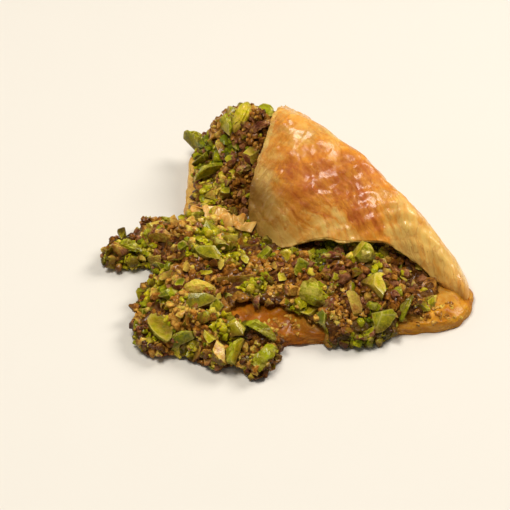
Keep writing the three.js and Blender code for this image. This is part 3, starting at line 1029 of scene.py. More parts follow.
# Clumps that have their place: u and v of the middle, how far it reaches, and its kind.
CLUMP_SPOTS = (
    (40, 66, 7, "golden"),
    (49, 55, 5, "golden"),
    (27, 62, 7, "purple"),
    (21, 56, 6, "golden"),
    (39, 53, 7, "green"),
    (27, 47, 7, "olive"),
    (12, 22, 7, "purple"),
    (15, 39, 8, "olive"),
    (27, 32, 7, "brown"),
    (-1, 28, 6, "deep"),
    (8, 30, 6, "deep"),
    (11, 16, 6, "purple"),
    (64, 47, 5, "golden"),
    (72, 45, 7, "green"),
    (58, 39, 9, "brown"),
    (76, 34, 8, "purple"),
    (70, 24, 5, "green"),
    (82, 26, 5, "green"),
    (78, 15, 7, "purple"),
    (87, 11, 7, "brown"),
    (95, 16, 5, "golden"),
    (37, 79, 5, "green"),
    (45, 89, 6, "purple"),
    (54, 79, 6, "golden"),
    (65, 80, 6, "golden"),
    (63, 70, 6, "green"),
    (67, 66, 4, "deep"),
    (57, 66, 4, "bare"),
    (62, 62, 5, "bare"),
    (67, 60, 4, "bare"),
    (70, 72, 5, "golden"),
    (14, 77, 5, "golden"),
    (18, 72, 5, "green"),
    (49, 63, 8, "brown"),
    (61, 28, 5, "deep"),
    (92, 34, 5, "deep"),
    (86, 37, 5, "purple"),
)
CLUMP_SIZE = 6.5

# What one step makes for the next: the heap to lay nuts on, and a tree of the bottom stack.
heap_state = {}


class Clumps:
    """The clumps that the nuts cling together in: where their middles are and what is in each."""

    def __init__(self, size):
        rng = np.random.default_rng(8)
        low, high = (np.array(corner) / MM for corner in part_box("filling"))
        axes = [np.arange(a - size, b + size, size) for a, b in zip(low, high)]
        grid = np.stack(np.meshgrid(*axes, indexing="ij"), axis=-1).reshape(-1, 3)
        middles = grid + rng.uniform(-0.5, 0.5, grid.shape) * size
        self.tree = KDTree(len(middles))
        for k, middle in enumerate(middles):
            self.tree.insert(middle, k)
        self.tree.balance()
        shares = [kind[0] for kind in CLUMP_KINDS.values()]
        self.kinds = rng.choice(list(CLUMP_KINDS), len(middles), p=shares).tolist()
        for u, v, reach, kind in CLUMP_SPOTS:
            spot = to_metres((u, v, 0.0))[:2] / MM
            for k in np.flatnonzero(np.linalg.norm(middles[:, :2] - spot, axis=1) < reach):
                self.kinds[k] = kind

    def at(self, point):
        """The kind of the clump round a point in metres, and how far it is from the next one."""
        near, far = self.tree.find_n(Vector(point) / MM, 2)
        return self.kinds[near[1]], far[2] - near[2]


class Heap:
    """Copies of nut shapes laid over the filling, larger ones first."""

    def __init__(self, crumb, clumps):
        self.points, self.faces, self.normals, self.areas, self.filling = triangles_of(crumb)
        self.pastry = triangles_of(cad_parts["pastry"])[4]
        self.clumps = clumps
        self.centres = np.empty((0, 3))
        self.radii = np.empty(0)

    def places(self, rng, count):
        """Places picked at random over the filling's sides and top, with their normals."""
        chosen = rng.choice(len(self.faces), count, p=self.areas / self.areas.sum())
        a, b = rng.random(count), rng.random(count)
        over = a + b > 1
        a[over], b[over] = 1 - a[over], 1 - b[over]
        first, second, third = np.moveaxis(self.points[self.faces[chosen]], 1, 0)
        spots = first + a[:, None] * (second - first) + b[:, None] * (third - first)
        return spots, self.normals[chosen]

    def has_room(self, spot, normal, radius, spacing):
        """Whether a piece fits: clear of the pastry above it and of those already laid."""
        reach = radius * 1.1
        start = Vector(spot) + Vector(normal) * 0.0002
        for way in (Vector(normal), UP):
            if self.pastry.ray_cast(start, way, reach)[0] is not None:
                return False
        if len(self.centres) == 0:
            return True
        gap = np.linalg.norm(self.centres - spot, axis=1)
        return bool(np.all(gap > spacing * (self.radii + radius)))

    def lay(self, rng, shapes, count, sizes, spacing, sink, tries, tilt=0.5):
        """Lays count copies of shapes, sizes their half-lengths, and returns them for joining."""
        copies = []
        spots, normals = self.places(rng, tries)
        for spot, normal in zip(spots, normals):
            if len(copies) == count:
                break
            size = rng.uniform(*sizes) * MM
            if normal[2] < -0.3 or spot[2] < 0.0008:
                continue
            if self.clumps.at(spot)[0] == "bare" or not self.has_room(spot, normal, size * 0.7, spacing):
                continue
            shape = shapes[rng.integers(len(shapes))]
            copies.append(self.put(shape, spot, normal, size, sink, turned(rng, normal, tilt)))
        return copies

    def put(self, shape, spot, normal, size, sink, turn):
        """One copy at a spot, sunk by a share of its size, and never below the table."""
        corners, triangles, cut, rim = shape
        points = corners @ (turn.T * size)
        # How deep each point sits in the heap; the material darkens by it, as painted shade between pieces
        # and as syrup soak.
        sunk_soak_and_shade = 1 - smooth(points @ np.array(normal) / size, -0.45, 0.55)
        centre = np.array(spot) - np.array(normal) * size * sink
        centre[2] += max(0.0, 0.0001 - (points[:, 2].min() + centre[2]))
        self.centres = np.vstack([self.centres, centre])
        self.radii = np.append(self.radii, size * 0.7)
        return points + centre, triangles, cut, rim, sunk_soak_and_shade


def join_copies(name, copies, tints, shades, fleshes):
    """One piece of many copies, each with its own tint and shade and its share of flesh."""
    points, faces, cuts, rims, copy_soak_and_shade = zip(*copies)
    starts = np.cumsum([0] + [len(corners) for corners in points[:-1]])
    counts = [len(triangles) for triangles in faces]
    piece = mesh_piece(name, np.vstack(points), np.vstack([f + start for f, start in zip(faces, starts)]))
    set_values(piece, "flesh", np.concatenate(cuts) * np.repeat(fleshes, counts), "FACE")
    set_values(piece, "tint", np.repeat(tints, counts), "FACE")
    set_values(piece, "shade", np.repeat(shades, counts), "FACE")
    # Stored for the material's painted shade and syrup soak where pieces sink into the heap.
    set_values(piece, "sunk_soak_and_shade", np.concatenate(copy_soak_and_shade))
    set_values(piece, "rim", np.concatenate(rims))
    return piece


# Kernels that stand out: kind, u, v, turn in degrees from the crease, half-length, lift, tint, shade.
CHOSEN_NUTS = (
    ("half", 51.9, 74.8, -43, 7.0, 0.9, 0.14, 0.6),
    ("half", 50.8, 87.0, 25, 7.4, 0.6, 0.36, 0.9),
    ("sliver", 79.5, 71.5, 80, 6.6, 0.6, 0.08, 0.95),
    ("sliver", 73.0, 66.5, -22, 5.4, 1.2, 0.12, 0.9),
    ("sliver", -4.5, 27.0, -15, 6.4, 2.2, 0.16, 0.95),
    ("chunk", 1.0, 17.9, -89, 5.4, 1.4, 0.10, 0.9),
    ("chunk", 42.4, 78.1, -39, 4.2, 1.4, 0.06, 0.95),
    ("chunk", 71.7, 24.6, -8, 4.8, 0.9, 0.40, 0.8),
    ("chunk", 83.0, 30.4, -6, 5.6, 1.2, 0.44, 1.0),
    ("chunk", 72.3, 45.5, 17, 5.4, 1.2, 0.34, 0.9),
    ("chunk", 66.2, 47.6, 20, 4.4, 1.2, 0.68, 0.5),
    ("chunk", 92.5, 35.8, -88, 5.0, 1.0, 0.20, 0.9),
    ("chunk", 15.4, 74.7, -60, 4.6, 1.0, 0.70, 0.3),
    ("sliver", 18.3, 71.0, -19, 5.0, 1.4, 0.28, 0.95),
    ("chunk", 39.0, 58.7, -21, 4.8, 1.4, 0.16, 0.9),
    ("sliver", 60.0, 84.2, -41, 5.6, 0.8, 0.06, 0.95),
    ("chunk", 65.7, 71.5, -17, 4.8, 1.4, 0.38, 0.95),
    ("sliver", 48.2, 43.8, -89, 4.6, 1.8, 0.12, 0.95),
    ("sliver", 51.2, 57.4, -58, 6.4, 1.0, 0.62, 0.15),
    ("chunk", 4.5, 31.6, -90, 4.4, 1.4, 0.24, 0.95),
    ("chunk", 14.0, 59.7, -54, 4.4, 1.2, 0.48, 0.9),
    ("sliver", 24.0, 62.8, -21, 6.2, 0.6, 0.56, 0.1),
    ("chunk", 68.9, 79.5, 13, 4.4, 1.0, 0.62, 0.6),
    ("whole", 47.4, 69.0, -37, 5.6, 0.2, 0.50, 0.3),
    ("sliver", 8.0, 24.0, 40, 5.6, 1.4, 0.30, 0.95),
    ("sliver", 12.5, 34.0, -75, 5.8, 1.4, 0.20, 0.95),
    ("chunk", 12.0, 13.0, -30, 5.0, 1.0, 0.26, 0.9),
    ("whole", 10.0, 19.5, 65, 5.8, 0.8, 0.40, 0.05),
    ("chunk", 30.0, 50.5, 15, 4.6, 1.4, 0.22, 0.95),
    ("sliver", 35.5, 47.5, -50, 4.8, 1.4, 0.40, 0.95),
    ("chunk", 57.0, 70.0, 35, 4.4, 1.2, 0.14, 0.95),
    ("sliver", 74.0, 78.0, 70, 5.6, 1.0, 0.30, 0.95),
    ("chunk", 62.0, 39.0, 50, 4.6, 1.2, 0.10, 0.95),
    ("sliver", 85.0, 40.0, 30, 5.6, 1.2, 0.55, 0.2),
)

# Ruffled scraps of torn leaf on the nuts: u and v of the middle, turn, length and height.
TORN_LEAVES = (
    (26.0, 44.0, -50, 7.0, 3.6),
    (31.0, 41.5, -44, 7.5, 4.2),
    (35.5, 40.5, -30, 5.5, 3.4),
    (22.0, 47.0, -70, 4.5, 2.8),
    (38.0, 52.0, 30, 5.0, 2.6),
)


# ---- Settings --------------------------------------------------------------------------------
def colour_setting(name, description, red, green, blue):
    """A colour that a user can change."""
    return bpy.props.FloatVectorProperty(
        name=name,
        description=description,
        default=srgb(red, green, blue)[:3],
        size=3,
        min=0.0,
        max=1.0,
        subtype="COLOR",
    )


class PastrySettings(bpy.types.PropertyGroup):
    """Finish of the filo leaves."""

    pale: colour_setting("Pale leaf", "Colour of the least baked leaf", 230, 188, 98)
    golden: colour_setting("Golden leaf", "Colour of the well baked leaf", 222, 144, 40)
    brown: colour_setting("Brown leaf", "Colour of the most baked spots", 182, 92, 18)
    syrup: colour_setting("Soaked leaf", "Colour of leaf that is full of syrup", 120, 78, 5)
    bottom_golden: colour_setting("Bottom leaf", "Colour of the baked bottom leaves", 218, 154, 32)
    amber: colour_setting("Amber leaf", "Colour of the bottom leaves that lie in syrup", 146, 78, 4)
    relief: bpy.props.FloatProperty(
        name="Relief",
        description="Share of the dents, wrinkles and blisters",
        default=1.0,
        min=0.0,
        max=2.0,
        subtype="FACTOR",
    )
    edge_leaves: bpy.props.IntProperty(
        name="Edge leaves",
        description="Thin leaves that show at each free edge of the fold",
        default=6,
        min=1,
        max=12,
    )
    leaf_thickness: bpy.props.FloatProperty(
        name="Leaf thickness",
        description="Thickness of one leaf",
        default=0.00028,
        unit="LENGTH",
        precision=5,
    )


class FillingSettings(bpy.types.PropertyGroup):
    """Amount and finish of the pistachios."""

    soak: colour_setting("Soaked tint", "What syrup multiplies the nuts' colour by", 206, 160, 70)
    # Dark colour that nuts and crumb are turned towards, for syrup soak and for painted shade in crevices
    # and where pieces sink into the heap.
    dark_soak_and_shade_colour: colour_setting("Dark crumb", "Colour deep in the soaked crumb", 66, 32, 3)
    chunks: bpy.props.IntProperty(name="Chunks", description="Coarsely chopped pieces", default=190, min=0)
    bits: bpy.props.IntProperty(name="Bits", description="Finely chopped pieces", default=900, min=0)
    crumbs: bpy.props.IntProperty(name="Crumbs", description="Crumbs", default=2900, min=0)
    skins: bpy.props.IntProperty(name="Skins", description="Scraps of skin", default=80, min=0)


class StageSettings(bpy.types.PropertyGroup):
    """Table, lights and camera."""

    floor_colour: colour_setting("Table", "Colour of the table", 225, 221, 213)
    azimuth: bpy.props.FloatProperty(
        name="Azimuth",
        description="Turn of the camera round the piece",
        default=math.radians(46.2),
        subtype="ANGLE",
    )
    elevation: bpy.props.FloatProperty(
        name="Elevation",
        description="Height of the camera over the table",
        default=math.radians(44.0),
        subtype="ANGLE",
    )
    distance: bpy.props.FloatProperty(
        name="Distance",
        description="Camera to the point of the table that it circles",
        default=0.918,
        subtype="DISTANCE",
        unit="LENGTH",
    )
    lens: bpy.props.FloatProperty(
        name="Lens",
        description="Focal length of the camera",
        default=205.0,
        unit="CAMERA",
    )


# ---- Operators -------------------------------------------------------------------------------
class BAKLAVA_OT_fold(bpy.types.Operator):
    """Makes the folded-over stack of leaves with its baked top leaf"""

    bl_idname = "baklava.fold"
    bl_label = "Fold"

    def execute(self, context):
        settings = context.scene.baklava_pastry
        share = np.linspace(0, 1, 132)[None, :]
        along = np.linspace(0, 1, 200)[:, None]
        start, end = cut_end(share), tip_end(share)
        reach = end - start
        nose = NOSE_LENGTH / reach
        turn = np.clip((along - 1 + nose) / nose, 0, 1) * math.radians(88)
        straight = np.minimum(along, 1 - nose)
        u = start + reach * (straight + nose * np.sin(turn) * (turn > 0))
        from_cut = u - start
        places = fold_places(u, share)
        middle = np.stack([u, 0 * u + NOSE_V, 0 * u + NOSE_Z], axis=-1)
        squeeze = np.stack([np.ones_like(u), np.cos(turn) + 0 * u, np.cos(turn) + 0 * u], axis=-1)
        places = middle + (places - middle) * squeeze
        relief = fold_relief(u, share, from_cut) * settings.relief * np.cos(turn)
        places = places + outward(places) * relief[..., None]
        places[..., 2] = np.maximum(places[..., 2], 0.3)
        sheet_uv = np.stack([u / 10, fold_arc(u, share) / 10], axis=-1)
        values = {
            "bake": fold_bake(u, share, from_cut),
            "soak": fold_soak(u, share),
            "across": 1 - smooth(from_cut, 6, 24),
        }
        piece, row, column = sheet_piece("fold", places, sheet_uv, values)
        thickness = fold_thickness(u, share, from_cut) * np.maximum(np.cos(turn), 0.1)
        thicken(piece, thickness, row, column)
        finish_piece(piece, baked_leaf(settings), "pastry")
        return {"FINISHED"}


def leaf_layer(name, u, share, depth, free, curl, bake, settings):
    """One thin leaf at a free edge; free runs from 0 inside the fold to 1 at the leaf's edge."""
    places = fold_places(u, share)
    relief = fold_relief(u, share, np.maximum(u - cut_end(share), 0)) * settings.relief
    lift = relief + curl * free**2 - depth
    places = places + outward(places) * lift[..., None]
    sheet_uv = np.stack([u / 10, fold_arc(u, share) / 10], axis=-1)
    values = {"bake": bake, "soak": fold_soak(u, share)}
    piece, _, _ = sheet_piece(name, places, sheet_uv, values)
    apply_modifier(piece, "SOLIDIFY", thickness=settings.leaf_thickness, offset=-1.0)
    return piece


def join_pieces(name, pieces):
    """Joins pieces into one."""
    bpy.ops.object.select_all(action="DESELECT")
    for piece in pieces:
        piece.select_set(True)
    bpy.context.view_layer.objects.active = pieces[0]
    bpy.ops.object.join()
    pieces[0].name = name
    return pieces[0]


def rim_leaf(k, settings):
    """The k-th leaf at the fold's front rim, the first of them outermost."""
    part = (k + 0.3) / settings.edge_leaves
    along = np.linspace(0.004, 0.955, 300)[:, None]
    free = np.linspace(0, 1, 10)[None, :]
    ragged = 0.35 + 0.6 * waves(along * 66, 0, 7, 1, 31 + k) + 0.35 * waves(along * 66, 0, 1.7, 1, 41 + k)
    share = 0.93 + (0.07 + np.maximum(ragged, -0.5) / 70) * free
    u = mix(cut_end(share), tip_end(share), along)
    curl = 0.45 * waves(u, 0, 8, 1, 51 + k) + 0.2 * waves(u, 0, 2.5, 1, 61 + k)
    return leaf_layer(f"rim_{k}", u, share, FOLD_RIM * part, free, curl, 0.05 + 0.15 * part, settings)


def end_leaf(k, count, settings):
    """The k-th of count leaves at the fold's cut end, the first of them outermost."""
    part = (k + 0.3) / count
    share = np.linspace(0.12, 0.99, 230)[None, :]
    free = np.linspace(1, 0, 10)[:, None]
    ragged = 0.3 + 0.55 * waves(share * 70, 0, 8, 1, 71 + k) + 0.3 * waves(share * 70, 0, 1.9, 1, 81 + k)
    u = cut_end(share) + 3.0 - (3.0 + np.maximum(ragged, -0.5)) * free
    depth = fold_thickness(u, share, np.maximum(u - cut_end(share), 0)) * part
    curl = 0.4 * waves(share * 70, 0, 9, 1, 91 + k) + 0.2 * waves(share * 70, 0, 2.5, 1, 101 + k)
    return leaf_layer(f"end_{k}", u, share, depth, free, curl, 0.05 + 0.2 * part, settings)


class BAKLAVA_OT_fold_edges(bpy.types.Operator):
    """Makes the thin ragged leaves that show at the fold's front rim and its cut end"""

    bl_idname = "baklava.fold_edges"
    bl_label = "Fold edges"

    def execute(self, context):
        settings = context.scene.baklava_pastry
        count = settings.edge_leaves + 2
        rims = [rim_leaf(k, settings) for k in range(settings.edge_leaves)]
        ends = [end_leaf(k, count, settings) for k in range(count)]
        for name, leaves in (("fold_rim_leaves", rims), ("fold_end_leaves", ends)):
            finish_piece(join_pieces(name, leaves), baked_leaf(settings), "pastry")
        return {"FINISHED"}


def rounded_outline(corners, count):
    """A closed outline through rounded corners: count even points, their places along it, its length."""
    path = []
    total = len(corners)
    for i, (x, y, rounding) in enumerate(corners):
        corner = np.array([x, y], float)
        before = np.array(corners[i - 1][:2], float) - corner
        after = np.array(corners[(i + 1) % total][:2], float) - corner
        enter = corner + before / np.linalg.norm(before) * rounding
        leave = corner + after / np.linalg.norm(after) * rounding
        for t in np.linspace(0, 1, 14):
            path.append((1 - t) ** 2 * enter + 2 * t * (1 - t) * corner + t**2 * leave)
    path = np.array(path + [path[0]])
    steps = np.linalg.norm(np.diff(path, axis=0), axis=1)
    lengths = np.concatenate([[0], np.cumsum(steps)])
    at = np.linspace(0, lengths[-1], count, endpoint=False)
    return np.stack([np.interp(at, lengths, path[:, k]) for k in (0, 1)], axis=1), at, lengths[-1]


def tip_corner(u, v):
    """1 at the bottom stack's corner under the fold's tip."""
    return smooth(u, 86, 98) * (1 - smooth(v, 26, 40))


def left_side(u, v):
    """1 at the drier side of the bottom stack by the open end, 0 where syrup has pooled."""
    return smooth(-u, -30, -6) * (1 - smooth(v, 44, 60))


def leaf_overhang(k, x, y):
    """How far the k-th bottom leaf from below draws back from the outline, where it is dry."""
    even = 0.14 * abs(k - 2.5) + 0.05 * max(0, k - 4) ** 2
    return even + 0.34 * waves(x, y, 9, 9, 120 + k) + 0.2 * waves(x, y, 2.2, 2.2, 130 + k)


def soaked_side(z, x, y):
    """How far the side draws back at height z, where syrup has run its leaves together."""
    even = 0.05 * (z - 1.6) ** 2 + 0.14 * max(0, z - 3) ** 2
    lumps = 0.5 * waves(x + 3 * z, y - 2 * z, 6, 6, 155)
    return even + lumps + 0.2 * waves(x - 3 * z, y + 2 * z, 1.8, 1.8, 156)


def stack_rings(at, length, loose):
    """The rings of the bottom stack from below: how far inside the outline and how high each lies.

    at runs along the outline and loose is 1 where the leaves are dry. Also the number of side rings.
    """
    angle = at / length * 2 * math.pi
    x, y = length / (2 * math.pi) * np.cos(angle), length / (2 * math.pi) * np.sin(angle)
    index = at / length * 80
    wobble = 0.9 * uneven(index * 2.6, index * 1.9, 4)
    drop = 0.5 + 0.9 * (1 - loose)
    squash = 1 - (drop - 0.2) / LEAF_STACK
    pitch = LEAF_STACK / BOTTOM_LEAVES
    rings = [(0.9 + wobble, 0 * at)]
    for k in range(BOTTOM_LEAVES):
        leaf = leaf_overhang(k, x, y)
        droop = 0.16 * loose * waves(x, y, 6, 6, 140 + k) * (k > 0)
        for tuck, rise in ((0.1, 0.12), (0.0, 0.3), (0.12, 0.5), (0.5, pitch)):
            if rise == pitch and k == BOTTOM_LEAVES - 1:
                continue
            z = max(0.02, k * pitch) + rise
            edge = mix(soaked_side(z, x, y), leaf + tuck, loose) + wobble
            rings.append((edge, (z + droop) * squash))
    inner = [0.3, 0.7, 1.2] + [1.2 + 0.55 * (k + 1) for k in range(26)] + [19, 24]
    top = [(edge + inset, LEAF_STACK - drop * (1 - smooth(inset, -0.6, 5.5))) for inset in inner]
    return rings + top, len(rings)


def stack_relief(u, v, loose):
    """Height of the bottom stack's dented top."""
    relief = (0.22 + 0.3 * (1 - loose)) * waves(u, v, 4, 4, 150) + 0.12 * creases(u, v, 5, 5, 151)
    return relief + (0.06 + 0.12 * (1 - loose)) * waves(u, v, 1.4, 1.4, 152)


class BAKLAVA_OT_bottom_stack(bpy.types.Operator):
    """Makes the soaked bottom stack, leaf by leaf at its edge"""

    bl_idname = "baklava.bottom_stack"
    bl_label = "Bottom stack"

    def execute(self, context):
        settings = context.scene.baklava_pastry
        count = 460
        outline, at, length = rounded_outline(BASE_CORNERS, count)
        inward = BASE_MIDDLE - outline
        inward /= np.linalg.norm(inward, axis=1, keepdims=True)
        loose = 0.02 + 0.98 * left_side(*outline.T)
        rings, side = stack_rings(at, length, loose)
        layers = []
        for k, (inset, height) in enumerate(rings):
            u, v = (outline + inward * inset[:, None]).T
            raised = 1.0 if k >= side else max(0.0, k - side / 2) / (side / 2)
            z = height + 0.35 * uneven(u, v, 1) * raised
            if k >= side:
                z = z + stack_relief(u, v, loose)
            layers.append(np.stack([u, v, np.maximum(z, 0.0)], axis=-1))
        places = np.array(layers).reshape(-1, 3)
        faces = []
        for r in range(len(rings) - 1):
            for i in range(count):
                j = (i + 1) % count
                faces.append((r * count + i, r * count + j, (r + 1) * count + j, (r + 1) * count + i))
        faces.append(list(range(count))[::-1])
        faces.append([(len(rings) - 1) * count + i for i in range(count)])
        piece = mesh_piece("bottom_stack", to_metres(places), faces)
        u, v, z = places.T
        soak = 0.92 - 0.8 * left_side(u, v) - 0.5 * tip_corner(u, v) - 0.2 * smooth(u - v, 10, 60)
        soak += 0.16 * (1 - smooth(z, 0.5, 3)) * (1 - left_side(u, v))
        soak += 0.25 * waves(u, v, 12, 12, 160) + 0.3 * waves(u + z, v - z, 3, 3, 162)
        bake = 0.48 - 0.4 * left_side(u, v) + 0.25 * waves(u, v, 9, 9, 161)
        set_values(piece, "soak", np.clip(soak, 0, 1))
        set_values(piece, "bake", np.clip(bake, 0, 1))
        finish_piece(piece, soaked_leaf(settings), "pastry", math.radians(55))
        heap_state["stack"] = triangles_of(piece)[4]
        return {"FINISHED"}


class BAKLAVA_OT_crumb(bpy.types.Operator):
    """Makes the fine soaked crumb that the chopped nuts sit in"""

    bl_idname = "baklava.crumb"
    bl_label = "Soaked crumb"

    def execute(self, context):
        points, faces, _, _, _ = triangles_of(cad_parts["filling"])
        piece = mesh_piece("soaked_crumb", points, faces)
        select_only(piece)
        bpy.ops.object.mode_set(mode="EDIT")
        bpy.ops.mesh.select_all(action="SELECT")
        bpy.ops.mesh.remove_doubles(threshold=0.00001)
        bpy.ops.object.mode_set(mode="OBJECT")
        apply_modifier(piece, "REMESH", mode="VOXEL", voxel_size=CRUMB_GRAIN)
        apply_modifier(piece, "DISPLACE", strength=-CRUMB_DEPTH, mid_level=0.0)
        apply_modifier(piece, "SMOOTH", factor=0.5, iterations=3)
        places = get_points(piece)
        normals = np.array([v.normal for v in piece.data.vertices])
        clumps = Clumps(CLUMP_SIZE)
        kinds, gaps = zip(*(clumps.at(place) for place in places))
        x, y, z = places.T / MM
        rough = 0.3 * waves(x + z, y - z, 2.6, 2.6, 170) + 0.3 * waves(x - z, y + z, 1.2, 1.2, 171)
        lump = 1.9 * smooth(gaps, 0, 3.2) - 1.1
        up = smooth(z, 0.2, 1.4)
        places = places + normals * ((rough + lump) * up * MM)[:, None]
        places[:, 2] = np.maximum(places[:, 2], 0.0001)
        # Where the heap thins out over the bottom stack, the crumb still covers the top leaf.
        pastry = triangles_of(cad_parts["pastry"])[4]
        for i in np.flatnonzero((normals[:, 2] > 0.2) & (z > 3.2) & (z < LEAF_STACK + 1)):
            stack = pastry.ray_cast(Vector(places[i]), UP, 0.0025)[0]
            if stack is not None and stack.z < (LEAF_STACK + 0.6) * MM:
                places[i, 2] = stack.z + CRUMB_COVER
        set_points(piece, places)
        set_values(piece, "tint", [CLUMP_KINDS[kind][1] for kind in kinds])
        # Painted shade for the material: how far each point lies down in a crevice between clumps.
        set_values(piece, "crevice_shade", 1 - smooth(gaps, 0, 2.6))
        finish_piece(piece, crumb_material(context.scene.baklava_filling), "filling")
        heap_state["heap"] = Heap(piece, clumps)
        return {"FINISHED"}


class BAKLAVA_OT_kernels(bpy.types.Operator):
    """Lays the whole kernels, the split halves and the largest chunks that stand out"""

    bl_idname = "baklava.kernels"
    bl_label = "Kernels"

    def execute(self, context):
        settings = context.scene.baklava_filling
        rng = np.random.default_rng(5)
        shapes = {
            "whole": [kernel_shape(rng, False) for _ in range(3)],
            "half": [kernel_shape(rng, True) for _ in range(2)],
            "chunk": [chopped_shape(rng, 3, 6, 0.72) for _ in range(10)],
            "sliver": [sliver_shape(rng, 2) for _ in range(8)],
        }
        heap = heap_state["heap"]
        copies, tints, shades = [], [], []
        for kind, u, v, turn, size, lift, tint, shade in CHOSEN_NUTS:
            hit, normal = heap.filling.ray_cast(Vector(to_metres((u, v, HIGH))), -UP)[:2]
            if hit is None:
                hit, normal = heap.filling.find_nearest(Vector(to_metres((u, v, LEAF_STACK))))[:2]
            flat = (Vector(normal) + 1.5 * UP).normalized()
            roll = rng.uniform(-0.5, 0.5) if kind == "half" else rng.uniform(0, 6.28)
            spin = Matrix.Rotation(-math.radians(turn), 3, "Z") @ Matrix.Rotation(roll, 3, "X")
            lean = UP.rotation_difference(flat).to_matrix()
            shape = shapes[kind][rng.integers(len(shapes[kind]))]
            spot = np.array(hit) + np.array([0, 0, lift * MM])
            copies.append(heap.put(shape, spot, flat, size * MM, 0.0, np.array(lean @ spin)))
            tints.append(tint)
            shades.append(shade)
        extra = heap.lay(rng, shapes["sliver"], 22, (3.6, 5.2), 0.9, -0.1, 1800, 0.7)
        copies += extra
        tints += list(rng.beta(1.2, 2.2, len(extra)))
        shades += list(rng.choice((0.1, 0.3, 0.8, 0.95), len(extra)))
        piece = join_copies("kernels", copies, tints, shades, np.ones(len(copies)))
        finish_piece(piece, nut_material(settings), "filling", math.radians(38))
        return {"FINISHED"}


def clump_looks(rng, copies):
    """Tints, shades and shares of flesh for copies: each takes after the clump that it is in."""
    tints, shades, fleshes = [], [], []
    for corner, *_ in copies:
        _, tint, stray, skin = CLUMP_KINDS[heap_state["heap"].clumps.at(corner.mean(0))[0]]
        other = rng.random() < 0.14
        tints.append(np.clip(rng.uniform(0, 1) if other else rng.normal(tint, stray), 0, 1))
        shades.append(rng.uniform(0, 0.55))
        fleshes.append(float(rng.random() > skin))
    return tints, shades, fleshes


def bright_looks(rng, copies):
    """Tints, shades and shares of flesh for coarse copies, which are green in any clump."""
    tints = rng.beta(1.2, 2.0, len(copies))
    return list(tints), list(rng.choice((0.1, 0.3, 0.5, 0.8, 0.95), len(copies))), [1.0] * len(copies)


def margin_crumbs(rng, shapes, count):
    """Copies of crumbs stuck in the syrup along the front of the bottom stack."""
    heap, copies = heap_state["heap"], []
    start, end = (np.array(BASE_CORNERS[k][:2], float) for k in (2, 3))
    along = (end - start) / np.linalg.norm(end - start)
    inward = np.array([along[1], -along[0]])
    for _ in range(count):
        u, v = mix(start, end, rng.uniform(0.12, 1.0)) + inward * rng.uniform(0.8, 8.0)
        above = Vector(to_metres((u, v, HIGH)))
        hit, normal = heap_state["stack"].ray_cast(above, -UP)[:2]
        covered = heap.filling.ray_cast(above, -UP)[0]
        if hit is None or (covered is not None and covered.z > hit.z):
            continue
        shape = shapes[rng.integers(len(shapes))]
        size = rng.uniform(0.5, 1.5) * MM
        copies.append(heap.put(shape, hit, normal, size, 0.35, turned(rng, normal, 1.0)))
    return copies


# How each kind of chopped nut lies: sizes are half-lengths in millimetres, smoothing is an angle in
# degrees, and strays is how many are tried in the syrup along the front.
NUT_KINDS = {
    "coarse_nuts": {
        "seed": 61,
        "laying": {"sizes": (2.4, 4.2), "spacing": 0.95, "sink": 0.0, "tries": 9000, "tilt": 0.9},
        "looks": bright_looks,
        "smoothing": 35,
        "strays": 0,
    },
    "fine_nuts": {
        "seed": 62,
        "laying": {"sizes": (1.4, 2.3), "spacing": 0.62, "sink": 0.0, "tries": 16000, "tilt": 0.9},
        "looks": clump_looks,
        "smoothing": 62,
        "strays": 0,
    },
    "nut_crumbs": {
        "seed": 63,
        "laying": {"sizes": (0.75, 1.3), "spacing": 0.42, "sink": -0.1, "tries": 36000, "tilt": 1.0},
        "looks": clump_looks,
        "smoothing": 62,
        "strays": 220,
    },
}


def lay_kind(name, shapes, count, settings):
    """Lays one kind of chopped nut over the heap and joins it into one piece."""
    kind = NUT_KINDS[name]
    rng = np.random.default_rng(kind["seed"])
    copies = heap_state["heap"].lay(rng, shapes, count, **kind["laying"])
    strays = margin_crumbs(rng, shapes, kind["strays"])
    tints, shades, fleshes = kind["looks"](rng, copies)
    more = len(strays)
    tints += list(rng.uniform(0.55, 0.85, more))
    piece = join_copies(name, copies + strays, tints, shades + [0.3] * more, fleshes + [1.0] * more)
    finish_piece(piece, nut_material(settings), "filling", math.radians(kind["smoothing"]))


class BAKLAVA_OT_chopped(bpy.types.Operator):
    """Lays the chopped nuts and the crumbs between them, from coarse to fine"""

    bl_idname = "baklava.chopped"
    bl_label = "Chopped nuts"

    def execute(self, context):
        settings = context.scene.baklava_filling
        rng = np.random.default_rng(6)
        coarse = [chopped_shape(rng, 2, 5, 0.8) for _ in range(18)]
        bits = [granule_shape(rng, 2, 0.65) for _ in range(10)]
        crumbs = [granule_shape(rng, 2, 0.6) for _ in range(10)]
        lay_kind("coarse_nuts", coarse, settings.chunks, settings)
        lay_kind("fine_nuts", bits, settings.bits, settings)
        lay_kind("nut_crumbs", crumbs, settings.crumbs, settings)
        return {"FINISHED"}


